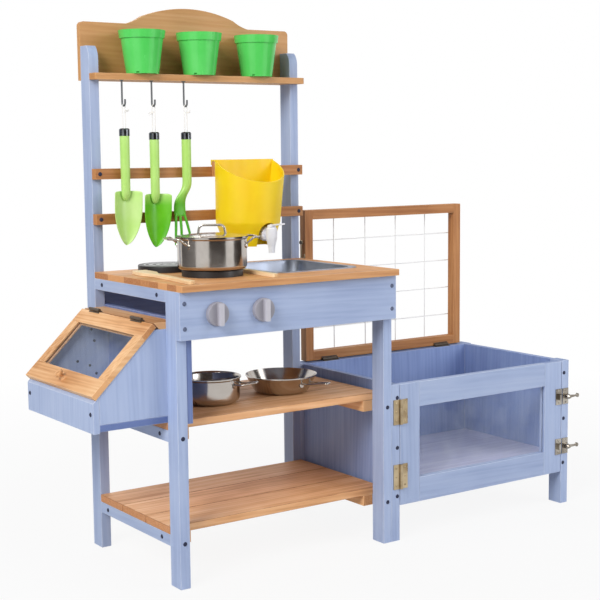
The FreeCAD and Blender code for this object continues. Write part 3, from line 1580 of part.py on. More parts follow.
def build_utensils():
    grip = S.utensil_grip_width / 2
    thick = S.utensil_thickness
    base = S.worktop_height + S.rest_gap
    length = S.utensil_length
    head = S.spatula_width / 2
    neck = length - S.spatula_head
    spatula = [
        Corner(-grip, grip),
        Via(0, 0),
        Corner(grip, grip),
        Corner(grip, neck),
        Corner(head, neck + head * 2, head),
        Corner(head * 7 / 8, length, head / 4),
        Corner(-head * 7 / 8, length, head / 4),
        Corner(-head, neck + head * 2, head),
        Corner(-grip, neck),
    ]
    node("spatula", [padded("Spatula", "XY", [spatula], 0, thick)], S.utensil_end_x, S.utensil_end_y, base,
         (0, 0, 1), SPATULA_ANGLE)
    length = S.spoon_length
    bowl = S.spoon_bowl_width / 2
    neck = length - S.spoon_bowl_length
    spoon = [
        Corner(-grip, grip),
        Via(0, 0),
        Corner(grip, grip),
        Corner(grip * 3 / 4, neck),
        Via(bowl, length - S.spoon_bowl_length / 2),
        Corner(0, length),
        Via(-bowl, length - S.spoon_bowl_length / 2),
        Corner(-grip * 3 / 4, neck),
    ]
    blank = padded("SpoonBlank", "XY", [spoon], 0, thick)
    depth = S.spoon_bowl_depth
    reach = bowl * 3 / 4
    radius = (reach * reach + depth * depth) / (2 * depth)
    ball = DOC.addObject("Part::Sphere", "SpoonHollow")
    bind(ball, "Radius", radius)
    put(ball, 0, length - S.spoon_bowl_length / 2, thick - depth + radius)
    node("spoon", [cut("Spoon", blank, ball)], S.spoon_end_x, S.spoon_end_y, base, (0, 0, 1), SPOON_ANGLE)


def screw_places():
    """Where the heads of the frame's screws show, and which way each one faces."""
    inset = S.screw_inset
    lower = LEG_TOP - S.apron_height + 2 * inset
    upper = LEG_TOP - 2 * inset
    places = [(x, -S.apron_thickness, z, "-Y") for x in (inset, RIGHT - inset) for z in (lower, upper)]
    rails = [top - S.side_rail_height / 2 for top in shelf_levels()]
    places += [(x, 0, z, "-Y") for x in (inset, RIGHT - inset) for z in rails]
    spots = [S.leg_depth + 3 * inset, POST_FRONT - 3 * inset]
    heights = rails + [LEG_TOP - S.side_rail_height / 2]
    places += [(0, y, z, "-X") for y in spots for z in heights]
    bars = [top - S.rail_height / 2 for top in (S.upper_rail_height, S.lower_rail_height)]
    places += [(x, RAIL_FRONT, z, "-Y") for x in (inset, RIGHT - inset) for z in bars]
    half = S.planter_board / 2
    box_x = (PLANTER_INNER[0] - half, PLANTER_INNER[1] + half)
    rise = S.planter_height - S.planter_bottom
    box_z = [S.planter_bottom + rise * share for share in PLANTER_SCREW_SHARES]
    places += [(x, 0, z, "-Y") for x in box_x for z in box_z]
    bin_z = BIN_FLOOR + 3 * inset
    places += [(-S.bin_reach, y, bin_z, "-X") for y in (S.leg_depth + inset, POST_FRONT - inset)]
    return places


def build_screws():
    radius = S.screw_head_radius
    height = S.screw_head_height
    head = [Corner(0, 0), Corner(radius, 0), Corner(radius * 3 / 4, height), Corner(0, height)]
    node("frame_screws", [turned("ScrewHead", head, *place) for place in screw_places()])


def set_origin():
    """Move the origin to the middle of the whole outline, on the floor."""
    box = FreeCAD.BoundBox()
    for group in NODES.values():
        box.add(group.Shape.optimalBoundingBox(False, False))
    for name, middle in (("origin_x", box.Center.x), ("origin_y", box.Center.y)):
        SHEET.set("B{}".format(ORIGIN_ROWS[name]), "{:.6f}".format(middle))
    DOC.recompute()


def check_document():
    """Stop if any object failed or any sub-part is not sound."""
    for thing in DOC.Objects:
        if {"Invalid", "Error"} & set(thing.State):
            raise RuntimeError("{} ({}) failed: {}".format(thing.Label, thing.Name, thing.State))
    for label, group in NODES.items():
        shape = group.Shape
        if shape.isNull() or not shape.isValid() or not shape.Solids:
            raise RuntimeError("{} has no sound shape".format(label))


def main():
    build_legs()
    build_aprons()
    build_rails_and_shelves()
    build_worktop()
    build_high_shelf()
    build_bin()
    build_bin_lid()
    build_planter()
    build_door()
    build_latches()
    build_mesh_lid()
    build_fixed_leaves()
    build_knobs()
    build_plant_pots()
    build_cooking_pot()
    build_pans()
    build_container()
    build_tap()
    build_hooks()
    build_tools()
    build_utensils()
    build_screws()
    DOC.recompute()
    check_document()
    set_origin()
    check_document()
    os.makedirs("parts", exist_ok=True)
    for label, group in NODES.items():
        group.Shape.exportStep("parts/{}.step".format(label))
        print(label, len(group.Shape.Solids), round(group.Shape.Volume))


main()
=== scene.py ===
"""The mud kitchen dressed: boards with eased edges and grain, vessels, tools, strings and fittings."""

import json
import math

import bmesh
import bpy
from mathutils import Matrix, Vector


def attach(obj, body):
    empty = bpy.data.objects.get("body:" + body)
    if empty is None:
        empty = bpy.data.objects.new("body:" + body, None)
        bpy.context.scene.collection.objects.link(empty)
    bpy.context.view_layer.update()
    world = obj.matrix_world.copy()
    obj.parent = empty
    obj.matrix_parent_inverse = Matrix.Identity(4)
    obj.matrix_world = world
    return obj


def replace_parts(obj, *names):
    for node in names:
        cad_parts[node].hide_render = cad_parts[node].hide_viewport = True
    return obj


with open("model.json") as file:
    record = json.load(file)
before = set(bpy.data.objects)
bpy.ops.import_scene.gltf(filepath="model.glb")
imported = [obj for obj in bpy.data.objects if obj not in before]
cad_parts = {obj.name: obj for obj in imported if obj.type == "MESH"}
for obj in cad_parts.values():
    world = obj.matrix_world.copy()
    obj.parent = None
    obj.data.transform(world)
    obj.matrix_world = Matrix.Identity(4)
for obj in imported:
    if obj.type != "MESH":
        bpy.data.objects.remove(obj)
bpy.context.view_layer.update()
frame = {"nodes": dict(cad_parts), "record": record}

MM = 0.001
X, Y, Z = range(3)
WHITE = (1.0, 1.0, 1.0, 1.0)
# The model's origin, in the millimetres that the kitchen was laid out in
MODEL_ORIGIN = Vector((415.152412, 160.0, 0.0))

SLOT_OF = {part["node"]: part["material_slot"] for part in frame["record"]["subparts"]}
BODY_OF = {node: body for body, nodes in frame["record"]["behaviour"]["bodies"].items() for node in nodes}


def place(x, y, z):
    """A point given in the kitchen's millimetres, in the model's frame."""
    return (Vector((x, y, z)) - MODEL_ORIGIN) * MM


def srgb(red, green, blue):
    """A colour as it is seen, 0 to 255, as the values that a shader takes."""
    def linear(value):
        value /= 255
        return value / 12.92 if value <= 0.04045 else ((value + 0.055) / 1.055) ** 2.4
    return linear(red), linear(green), linear(blue), 1.0


# Materials: the range that a noise mostly keeps to, the most that one object's spot in it is moved, and how
# high a fine relief is and how strongly it shows
NOISE_LOW, NOISE_HIGH = 0.3, 0.7
OWN_SHIFT = (3.1, 4.7, 5.3)
FINE_RELIEF, FINE_BUMP, COARSE_BUMP = 0.05 * MM, 0.25, 0.3


class Nodes:
    """The node tree of a material or world under construction."""

    def __init__(self, owner):
        owner.use_nodes = True
        self.tree = owner.node_tree
        self.tree.nodes.clear()

    def node(self, kind, inputs=(), **settings):
        """A new node with its settings, its inputs set to values or fed from sockets."""
        made = self.tree.nodes.new("ShaderNode" + kind)
        for key, value in settings.items():
            setattr(made, key, value)
        for key, value in dict(inputs).items():
            self.feed(made, key, value)
        return made

    def feed(self, node, socket, value):
        if isinstance(value, bpy.types.NodeSocket):
            self.tree.links.new(value, node.inputs[socket])
        else:
            node.inputs[socket].default_value = value

    def calc(self, operation, *values):
        return self.node("Math", dict(enumerate(values)), operation=operation).outputs[0]

    def vector(self, operation, *values):
        made = self.node("VectorMath", dict(enumerate(values)), operation=operation)
        return made.outputs["Value" if operation in ("LENGTH", "DOT_PRODUCT") else "Vector"]

    def split(self, vector):
        return self.node("SeparateXYZ", {0: vector}).outputs

    def span(self, value, low, high, to_low=0.0, to_high=1.0):
        return self.node("MapRange", {0: value, 1: low, 2: high, 3: to_low, 4: to_high}).outputs[0]

    def stretched(self, noise, to_low=0.0, to_high=1.0):
        """A noise with its usual range spread over the range given."""
        return self.span(noise, NOISE_LOW, NOISE_HIGH, to_low, to_high)

    def noise(self, spot, scale, detail=3.0, rough=0.55):
        made = self.node("TexNoise", {"Vector": spot, "Scale": scale, "Detail": detail, "Roughness": rough})
        return made.outputs["Fac"]

    def mix(self, share, first, second, blend="MIX"):
        made = self.node("Mix", {0: share, 6: first, 7: second}, data_type="RGBA", blend_type=blend)
        return made.outputs[2]

    def seen(self):
        """1 for what the camera sees, also in polished metal or through a clear sheet, and 0 for light."""
        rays = self.node("LightPath").outputs
        return self.calc("MAXIMUM", rays["Is Camera Ray"],
                         self.calc("MAXIMUM", rays["Is Glossy Ray"], rays["Is Transmission Ray"]))


class Finish(Nodes):
    """A material under construction: one shader and the nodes that feed it."""

    def __init__(self, name, rough, metal=0.0):
        self.material = bpy.data.materials.new(name)
        super().__init__(self.material)
        self.shader = self.node("BsdfPrincipled", {"Roughness": rough, "Metallic": metal})
        self.output = self.node("OutputMaterial", {"Surface": self.shader.outputs[0]})
        self.where = self.node("TexCoord").outputs
        self.chance = self.node("ObjectInfo").outputs["Random"]

    def colour(self, value):
        self.feed(self.shader, "Base Color", value)

    def roughness(self, value):
        self.feed(self.shader, "Roughness", value)

    def bump(self, height, distance, strength):
        made = self.node("Bump", {"Height": height, "Distance": distance, "Strength": strength})
        self.feed(self.shader, "Normal", made.outputs[0])

    def own_spot(self):
        """Object coordinates, moved by an amount of each object's own, so that no two boards match."""
        shift = self.node("VectorMath", {0: OWN_SHIFT, "Scale": self.chance}, operation="SCALE")
        return self.vector("ADD", self.where["Object"], shift.outputs["Vector"])


# Wood: how often each layer of the grain repeats in a metre, and its share of the pattern
GRAIN_STRETCH = 0.045
STAVE_SLIDE = 7.0
WANDER_SCALE, WANDER_REACH = 22.0, 0.014
BROAD_SCALE, BROAD_SHARE = 85.0, 0.7
RING_SCALE, RING_SHARE = 62.0, 0.12
FINE_SCALE, FINE_SHARE = 620.0, 0.18
CLOUD_SCALE, CLOUD_SHARE = 7.0, 0.6
# The grain's middle, and how far below and above it the dark and light tones are full
GRAIN_MIDDLE, DARK_REACH, LIGHT_REACH = 0.5, 0.2, 0.22
# How dark and light one strip or board may be beside the next
STAVE_TONES = (0.87, 1.07)
BOARD_TONES = (0.95, 1.04)
# End grain: how squarely a face looks along the grain, its pores, and the strips whose ends stay light
END_FACING = (0.75, 0.9)
PORE_SCALE, PORE_TONES = 420.0, (0.1, 0.6)
LIGHT_ENDS = (0.4, 0.5, 0.9, 0.0)
# Rubbed edges
RUB_SCALE, RUB_RANGE, LEAST_RUB = 38.0, (0.3, 0.6), 0.25
# Surface
WOOD_ROUGH = 0.55
GRAIN_ROUGH = (0.65, 0.47)
RING_RELIEF, WOOD_RELIEF, WOOD_BUMP = 0.7, 0.25 * MM, 0.35


def wood(name, axis, tones, end, worn, contrast, stave=None, wear=0.8):
    """Sawn softwood whose grain runs along one axis.

    tones are its dark, middle and light colours, end is its end grain and worn its rubbed edges. stave is
    the axis across which it is glued up from strips, and their width.
    """
    made = Finish(name, WOOD_ROUGH)
    spot = made.own_spot()
    strip = made.chance
    if stave:
        across, width = stave
        count = made.calc("FLOOR", made.calc("DIVIDE", made.split(spot)[across], width))
        strip = made.node("TexWhiteNoise", {"W": count}, noise_dimensions="1D").outputs["Value"]
        slide = made.node("CombineXYZ", {axis: made.calc("MULTIPLY", strip, STAVE_SLIDE)}).outputs[0]
        spot = made.vector("ADD", spot, slide)
    stretch = [1.0, 1.0, 1.0]
    stretch[axis] = GRAIN_STRETCH
    along = made.vector("MULTIPLY", spot, tuple(stretch))
    wander = made.calc("MULTIPLY", made.noise(along, WANDER_SCALE, detail=2.0), WANDER_REACH)
    bent = made.vector("ADD", along, made.node("CombineXYZ", {(axis + 1) % 3: wander}).outputs[0])
    broad = made.noise(bent, BROAD_SCALE)
    fine = made.noise(along, FINE_SCALE, rough=0.7)
    rings = made.node("TexWave", {"Vector": bent, "Scale": RING_SCALE, "Distortion": 4.5, "Detail": 2.0,
                                  "Detail Scale": 1.6}, wave_type="BANDS",
                      bands_direction="DIAGONAL").outputs["Fac"]
    cloud = made.calc("SUBTRACT", made.noise(spot, CLOUD_SCALE, detail=2.0), 0.5)
    grain = made.calc("MULTIPLY", broad, BROAD_SHARE)
    for layer, share in ((rings, RING_SHARE), (fine, FINE_SHARE), (cloud, CLOUD_SHARE)):
        grain = made.calc("ADD", grain, made.calc("MULTIPLY", layer, share))

    dark, plain, light = tones
    colour = made.mix(made.span(grain, GRAIN_MIDDLE - DARK_REACH / contrast, GRAIN_MIDDLE), dark, plain)
    colour = made.mix(made.span(grain, GRAIN_MIDDLE, GRAIN_MIDDLE + LIGHT_REACH / contrast), colour, light)
    tone = made.span(strip, 0.0, 1.0, *(STAVE_TONES if stave else BOARD_TONES))
    grey = made.node("CombineColor", {0: tone, 1: tone, 2: tone}).outputs[0]
    colour = made.mix(1.0, colour, grey, "MULTIPLY")

    facing = [0.0, 0.0, 0.0]
    facing[axis] = 1.0
    squarely = made.calc("ABSOLUTE", made.vector("DOT_PRODUCT", made.where["Normal"], tuple(facing)))
    pores = made.noise(spot, PORE_SCALE, detail=2.0)
    cut = made.mix(made.stretched(pores, *PORE_TONES), end, plain)
    cut = made.mix(made.span(strip, *LIGHT_ENDS), cut, plain)
    colour = made.mix(made.span(squarely, *END_FACING), colour, cut)

    edge = made.node("Attribute", attribute_name="edge").outputs["Fac"]
    rub = made.span(made.noise(spot, RUB_SCALE), *RUB_RANGE, wear * LEAST_RUB, wear)
    made.colour(made.mix(made.calc("MULTIPLY", edge, rub), colour, worn))
    made.roughness(made.stretched(broad, *GRAIN_ROUGH))
    made.bump(made.calc("ADD", fine, made.calc("MULTIPLY", rings, RING_RELIEF)), WOOD_RELIEF, WOOD_BUMP)
    return made.material


def per_axis(name, *looks, **more):
    """One wood for each axis that its grain may follow."""
    return [wood(name + "_" + letter, axis, *looks, **more) for axis, letter in enumerate("xyz")]


def moulded(name, colour, shade, rough=0.34, depth=0.0):
    """Moulded plastic: a faint flow in its colour, a fine skin and rubbed places.

    depth is how much light passes below its surface.
    """
    flow_scale, rub_scale, skin_scale = 14.0, 55.0, 900.0
    rub_stretch, rub_range = (1.0, 1.0, 0.25), (0.35, 0.7)
    smoother, duller = 0.06, 0.14
    skin_relief, reach = 0.06 * MM, (0.006, 0.006, 0.006)
    made = Finish(name, rough)
    spot = made.own_spot()
    made.colour(made.mix(made.stretched(made.noise(spot, flow_scale)), shade, colour))
    rubs = made.noise(made.vector("MULTIPLY", spot, rub_stretch), rub_scale, detail=4.0)
    made.roughness(made.span(rubs, *rub_range, rough - smoother, rough + duller))
    made.bump(made.noise(spot, skin_scale, detail=2.0), skin_relief, FINE_BUMP)
    if depth:
        made.feed(made.shader, "Subsurface Weight", depth)
        made.feed(made.shader, "Subsurface Radius", reach)
    return made.material


def metal(name, colour, shade, rough, lay):
    """Metal with the fine lines of its polishing. lay is how much they are drawn out along each axis."""
    line_scale, patch_scale, patch_range = 900.0, 24.0, (0.35, 0.65)
    smoother, duller = 0.75, 1.35
    made = Finish(name, rough, metal=1.0)
    spot = made.own_spot()
    patch = made.noise(spot, patch_scale)
    made.colour(made.mix(made.span(patch, *patch_range), shade, colour))
    made.roughness(made.stretched(patch, rough * smoother, rough * duller))
    lines = made.noise(made.vector("MULTIPLY", spot, lay), line_scale, rough=0.6)
    made.bump(lines, FINE_RELIEF, FINE_BUMP)
    return made.material


def painted(name, colour, worn, rough=0.42):
    """A thin coat on metal, rubbed to another tone in spots."""
    rub_scale, rub_range, most_rub, coat_scale = 160.0, (0.6, 0.75), 0.6, 700.0
    duller = 0.15
    made = Finish(name, rough)
    spot = made.own_spot()
    rub = made.noise(spot, rub_scale, detail=4.0, rough=0.6)
    made.colour(made.mix(made.span(rub, *rub_range, 0.0, most_rub), colour, worn))
    made.roughness(made.stretched(rub, rough, rough + duller))
    made.bump(made.noise(spot, coat_scale, detail=2.0), FINE_RELIEF, COARSE_BUMP)
    return made.material


def clear_sheet():
    """Clear plastic with a faint haze."""
    rough, haze_scale, haze_rough, opacity, shine = 0.06, 30.0, (0.04, 0.14), (0.03, 0.07), 0.3
    made = Finish("clear_plastic", rough)
    haze = made.noise(made.own_spot(), haze_scale, detail=4.0)
    made.colour(made.mix(haze, srgb(214, 226, 238), srgb(236, 243, 248)))
    made.feed(made.shader, "Alpha", made.stretched(haze, *opacity))
    made.feed(made.shader, "Specular IOR Level", shine)
    made.roughness(made.stretched(haze, *haze_rough))
    return made.material


def hob_print():
    """Matt black with a spiral printed in silver on the top."""
    rough, grit_scale, grit_rough = 0.4, 500.0, (0.36, 0.5)
    turns, line_edge, print_rim, upright = 4.2, (0.2, 0.26), (0.82, 0.8), (0.9, 0.95)
    made = Finish("hob_black", rough)
    flat = made.vector("SUBTRACT", made.where["Generated"], (0.5, 0.5, 0.5))
    apart = made.split(flat)
    level = made.vector("MULTIPLY", flat, (1.0, 1.0, 0.0))
    radius = made.calc("MULTIPLY", made.vector("LENGTH", level), 2.0)
    angle = made.calc("DIVIDE", made.calc("ARCTAN2", apart[Y], apart[X]), 2 * math.pi)
    turn = made.calc("FRACT", made.calc("SUBTRACT", made.calc("MULTIPLY", radius, turns), angle))
    line = made.span(made.calc("ABSOLUTE", made.calc("SUBTRACT", turn, 0.5)), *line_edge)
    top = made.span(made.split(made.where["Normal"])[Z], *upright)
    drawn = made.calc("MULTIPLY", made.calc("MULTIPLY", line, made.span(radius, *print_rim)), top)
    grit = made.noise(made.own_spot(), grit_scale, detail=2.0)
    black = made.mix(grit, srgb(22, 22, 24), srgb(44, 44, 47))
    silver = made.mix(grit, srgb(150, 152, 156), srgb(192, 194, 198))
    made.colour(made.mix(drawn, black, silver))
    made.roughness(made.stretched(grit, *grit_rough))
    made.bump(grit, FINE_RELIEF, COARSE_BUMP)
    return made.material


def two_tone(name, far, near, shade, joint, axis=Z, before=20.0 * MM, after=10.0 * MM):
    """Plastic moulded in one piece, whose colour changes along an axis on either side of a joint; on the
    knobs this change is painted shade on the disc behind the grip.
    """
    flow_scale, rub_scale, skin_scale, rough, rub_rough = 20.0, 60.0, 900.0, 0.33, (0.28, 0.44)
    made = Finish(name, rough)
    spot = made.own_spot()
    flow = made.mix(made.stretched(made.noise(spot, flow_scale)), shade, near)
    reached = made.split(made.where["Object"])[axis]
    made.colour(made.mix(made.span(reached, joint - before, joint + after), flow, far))
    made.roughness(made.stretched(made.noise(spot, rub_scale, detail=4.0), *rub_rough))
    made.bump(made.noise(spot, skin_scale, detail=2.0), FINE_RELIEF, FINE_BUMP)
    return made.material


def twisted():
    """White string of strands that wind round it."""
    rough, strand_scale, strand_relief, strand_bump = 0.85, 260.0, 0.2 * MM, 0.6
    made = Finish("string_white", rough)
    wind = made.node("TexWave", {"Vector": made.where["Object"], "Scale": strand_scale, "Distortion": 1.5},
                     wave_type="BANDS", bands_direction="DIAGONAL").outputs["Fac"]
    made.colour(made.mix(wind, srgb(226, 224, 220), srgb(250, 249, 246)))
    made.bump(wind, strand_relief, strand_bump)
    return made.material


# Woods: three tones, end grain and rubbed edge
BLUE = per_axis("blue_wood", (srgb(147, 163, 200), srgb(163, 179, 213), srgb(175, 189, 219)),
                srgb(122, 144, 192), srgb(196, 206, 228), contrast=0.65)
# A deeper, darker copy of the blue wood for the planter's walls: painted shade and painted blue bounce light
PLANTER_BLUE_PAINTED_SHADE = per_axis("planter_blue_painted_shade_wood", (srgb(118, 138, 188), srgb(138, 158, 205), srgb(154, 173, 214)),
                     srgb(108, 132, 186), srgb(182, 196, 226), contrast=0.6)
# A darker copy of the blue wood, painted shade for the bin's back panel and floor and the back apron, which
# lie in shadow
PAINTED_SHADE_BLUE = per_axis("painted_shade_blue_wood", (srgb(88, 106, 158), srgb(108, 126, 176), srgb(126, 144, 190)),
                 srgb(92, 112, 166), srgb(160, 176, 212), contrast=0.6)
WASHED = wood("washed_floor", X, (srgb(172, 172, 204), srgb(192, 194, 222), srgb(210, 212, 232)),
              srgb(160, 164, 196), srgb(222, 222, 236), contrast=0.7)
HONEY = per_axis("honey_wood", (srgb(192, 134, 82), srgb(224, 170, 118), srgb(240, 195, 146)),
                 srgb(184, 118, 62), srgb(240, 198, 150), contrast=0.95, wear=0.5)
ARCH = per_axis("arch_wood", (srgb(176, 122, 70), srgb(198, 145, 90), srgb(211, 162, 108)),
                srgb(176, 120, 66), srgb(218, 176, 124), contrast=0.5, wear=0.5)
AMBER = per_axis("amber_wood", (srgb(150, 92, 46), srgb(182, 122, 70), srgb(200, 144, 90)),
                 srgb(206, 146, 88), srgb(212, 156, 102), contrast=0.75, wear=0.5)
PALE = per_axis("pale_wood", (srgb(222, 186, 138), srgb(240, 212, 168), srgb(248, 226, 188)),
                srgb(214, 172, 120), srgb(248, 228, 192), contrast=0.8)
PLANK = per_axis("shelf_wood", (srgb(196, 138, 90), srgb(226, 170, 120), srgb(242, 194, 148)),
                 srgb(176, 108, 56), srgb(142, 88, 50), contrast=0.9, wear=0.75)
STAVE_WIDTH = 0.032
WORKTOP = wood("worktop_staves", X, (srgb(188, 126, 74), srgb(214, 154, 99), srgb(231, 176, 121)),
               srgb(150, 86, 40), srgb(232, 182, 130), contrast=0.9, stave=(Y, STAVE_WIDTH), wear=0.5)

# Plastics
GREEN_POT = moulded("pot_green", srgb(96, 212, 104), srgb(80, 202, 90), rough=0.16)
YELLOW = moulded("container_yellow", srgb(252, 218, 8), srgb(245, 205, 4), rough=0.42, depth=0.35)
TAP = moulded("tap_white", srgb(244, 245, 250), srgb(230, 233, 244), depth=0.3)
HANDLE = moulded("tool_handle", srgb(190, 230, 134), srgb(176, 222, 116))
CLEAR = clear_sheet()
# A knob's grip is painted lighter and its disc darker, as painted shade of the disc behind the grip; the
# disc starts this far back
KNOB_DISC, KNOB_BLEND = -0.1885, 3.0 * MM
KNOB_PAINTED_SHADE = two_tone("knob_grey", srgb(154, 152, 162), srgb(198, 196, 205), srgb(186, 184, 194),
                KNOB_DISC, Y, KNOB_BLEND, KNOB_BLEND)
# Tools: the colour of the handle, of the blade and of the blade's shade, and the height between them
LIME = srgb(188, 228, 130)
TOOLS = {
    "trowel_light": two_tone("tool_lime_light", LIME, srgb(198, 233, 150), srgb(178, 224, 118), 0.686),
    "trowel_green": two_tone("tool_green", LIME, srgb(112, 200, 30), srgb(84, 180, 12), 0.679),
    "hand_fork": two_tone("tool_green_fork", srgb(176, 222, 112), srgb(94, 190, 24), srgb(62, 164, 6), 0.68),
}
STRING = twisted()

# Metals, bare and painted
CAP = metal("cap_chrome", srgb(128, 132, 136), srgb(96, 99, 103), 0.2, (1.0, 1.0, 0.2))
STEEL = metal("pot_steel", srgb(192, 186, 180), srgb(182, 175, 168), 0.15, (0.1, 0.1, 1.0))
SINK = metal("sink_steel", srgb(164, 170, 183), srgb(144, 151, 166), 0.42, (0.06, 1.0, 1.0))
BRASS = metal("hinge_brass", srgb(196, 178, 146), srgb(150, 130, 100), 0.3, (1.0, 1.0, 0.15))
LATCH = metal("latch_steel", srgb(190, 184, 174), srgb(132, 124, 114), 0.2, (1.0, 0.3, 1.0))
HOOK = painted("hook_steel", srgb(92, 94, 98), srgb(140, 142, 146))
# Dark navy screw heads: painted shade of deep screw holes
SCREW_PAINTED_SHADE = painted("screw_painted_shade", srgb(14, 20, 54), srgb(34, 42, 84), 0.55)
GREY_SCREW = painted("screw_grey", srgb(78, 88, 116), srgb(130, 140, 166), 0.35)
BRONZE = painted("hinge_bronze", srgb(74, 62, 50), srgb(120, 104, 84), 0.45)
WIRE = painted("white_wire", srgb(244, 244, 243), srgb(228, 229, 230), 0.38)
FLAG = painted("flag_dark", srgb(64, 56, 52), srgb(84, 74, 68), 0.9)
GREY_FLAG = painted("flag_grey", srgb(140, 138, 138), srgb(156, 152, 150), 0.9)
HOB = hob_print()

# A wood is a list with one material for each axis of the grain
SLOT_FINISH = {
    "blue_wood": BLUE, "honey_wood": HONEY, "pale_wood": PALE, "clear_plastic": CLEAR,
    "hinge_brass": BRASS, "pot_steel": STEEL, "sink_steel": SINK, "hook_steel": HOOK,
    "screw_steel": SCREW_PAINTED_SHADE, "white_wire": WIRE, "hob_black": HOB, "knob_grey": KNOB_PAINTED_SHADE,
    "pot_green": GREEN_POT, "container_yellow": YELLOW, "tap_white": TAP,
}
# Nodes that don't look like the rest of their slot, among them boards given darker blue as painted shade
OWN_FINISH = {
    "worktop": [WORKTOP] * 3, "shelf_planks": PLANK, "top_shelf": ARCH, "arch_back_board": ARCH,
    "hanging_rails": AMBER, "mesh_lid_frame": AMBER, "planter_floor": [WASHED] * 3,
    "planter_walls": PLANTER_BLUE_PAINTED_SHADE, "bin_back_panel": PAINTED_SHADE_BLUE, "bin_floor": PAINTED_SHADE_BLUE,
    "latch_plates": LATCH, "latch_keepers": LATCH, "latch_wing_upper": LATCH, "latch_wing_lower": LATCH,
    "bin_lid_hinge_leaves": BRONZE, "mesh_lid_fittings": BRONZE, **dict.fromkeys(TOOLS, CAP),
}
# Nodes whose grain stands upright, whichever of their sides is longest
UPRIGHT_GRAIN = {"bin_walls", "bin_back_panel", "planter_walls"}

# Boards: how far edges are eased, which edges are long and sharp enough, and what is too fine for it
BOARD_EDGE = 0.9 * MM
SHORTEST_EDGE = 2.5 * MM
MOST_BOARD_FACES = 500
SHARP_ANGLE = math.radians(28)
FLAT_ANGLE = math.radians(0.5)
SMOOTH_ANGLE = math.radians(35)

# Hinges of the two lids, in millimetres: their leaves lie between the boards, and a narrow lip shows. Each
# node has the hinge's line, the axis that it follows and the way in which its leaf is cut off past the lip
LIP = 5.5
NEAR_HINGE = 30.0
BIN_HINGE = Vector((-443.152, 0.0, 473.2))
MESH_HINGE = Vector((0.0, 150.7, 314.2))
SLOPE = math.radians(44)
DOWN_THE_LID = Vector((-math.cos(SLOPE), 0.0, -math.sin(SLOPE)))
TRIMS = {"fixed_hinge_leaves": (BIN_HINGE, Y, Vector((1, 0, 0))),
         "bin_lid_hinge_leaves": (BIN_HINGE, Y, DOWN_THE_LID),
         "mesh_lid_fittings": (MESH_HINGE, X, Vector((0, 0, 1)))}

# Heights and depths that tell apart the solids of one node
CAP_FROM = 0.77
APRON_FACE = -0.17
DOOR_FACE = -0.15


def solids(node):
    """A node's corner points and, for each of its separate solids, the faces between them.

    A solid is complete where every edge of its faces has met the same edge the other way round.
    """
    mesh = frame["nodes"][node].data
    spots = {}
    corner = [spots.setdefault(tuple(round(c, 6) for c in v.co), len(spots)) for v in mesh.vertices]
    found, faces, unmet = [], [], set()
    for polygon in mesh.polygons:
        face = [corner[i] for i in polygon.vertices]
        if len(set(face)) < len(face):
            continue
        faces.append(face)
        for pair in zip(face, face[1:] + face[:1]):
            if pair[::-1] in unmet:
                unmet.remove(pair[::-1])
            else:
                unmet.add(pair)
        if not unmet:
            found.append(faces)
            faces = []
    if faces:
        found.append(faces)
    return list(spots), found


def centre_of(points, faces):
    """The middle of the box round a solid, rounded so that solids sort alike in every run."""
    used = [points[i] for face in faces for i in face]
    return tuple(round((min(spot[i] for spot in used) + max(spot[i] for spot in used)) / 2, 4)
                 for i in range(3))


def as_mesh(name, made):
    """The mesh of a shape under construction, which ends with it."""
    mesh = bpy.data.meshes.new(name)
    made.to_mesh(mesh)
    made.free()
    return mesh


def solid_mesh(name, points, faces, ease):
    """One solid as a mesh of its own, its long sharp edges eased and marked for wear."""
    used = sorted(set(i for face in faces for i in face))
    index = {old: new for new, old in enumerate(used)}
    made = bmesh.new()
    corners = [made.verts.new(points[i]) for i in used]
    for face in faces:
        corner = [corners[index[i]] for i in face]
        if not made.faces.get(corner):
            made.faces.new(corner)
    made.normal_update()
    layer = made.faces.layers.float.new("edge")
    if ease:
        bmesh.ops.dissolve_limit(made, angle_limit=FLAT_ANGLE, verts=made.verts, edges=made.edges)
        sharp = [edge for edge in made.edges if edge.calc_length() > SHORTEST_EDGE
                 and edge.is_manifold and abs(edge.calc_face_angle(0.0)) > SHARP_ANGLE]
        eased = bmesh.ops.bevel(made, geom=sharp, offset=ease, offset_type="OFFSET", segments=2,
                                profile=0.5, affect="EDGES", clamp_overlap=False)
        for face in eased["faces"]:
            face[layer] = 1.0
    return as_mesh(name, made)


def trim(mesh, spot, way):
    """Cuts a solid off beyond a plane, in millimetres, and closes it there."""
    made = bmesh.new()
    made.from_mesh(mesh)
    bmesh.ops.bisect_plane(made, geom=made.verts[:] + made.edges[:] + made.faces[:], dist=0.001 * MM,
                           plane_co=spot * MM, plane_no=way, clear_outer=True)
    bmesh.ops.holes_fill(made, edges=[edge for edge in made.edges if edge.is_boundary], sides=0)
    made.to_mesh(mesh)
    made.free()


def show(name, mesh, finish, body, board=False):
    """A new piece of the scene that moves with a body."""
    for polygon in mesh.polygons:
        polygon.use_smooth = True
    mesh.set_sharp_from_angle(angle=SMOOTH_ANGLE)
    mesh.materials.append(finish)
    made = bpy.data.objects.new(name, mesh)
    bpy.context.scene.collection.objects.link(made)
    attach(made, body)
    if board:
        made.modifiers.new("normals", "WEIGHTED_NORMAL").keep_sharp = True
    return made


def grain_axis(node, mesh):
    """The axis that a board's grain follows, mostly its longest."""
    if node in UPRIGHT_GRAIN:
        return Z
    size = [max(v.co[i] for v in mesh.vertices) - min(v.co[i] for v in mesh.vertices) for i in range(3)]
    return size.index(max(size))


def look_of(node, spot, finish):
    """The finish of one solid of a node, which may differ from that of the node's other solids."""
    if node == "frame_screws" and spot[Y] < APRON_FACE:
        return GREY_SCREW
    if node == "fixed_hinge_leaves" and spot[Y] > DOOR_FACE:
        return BRONZE
    return finish


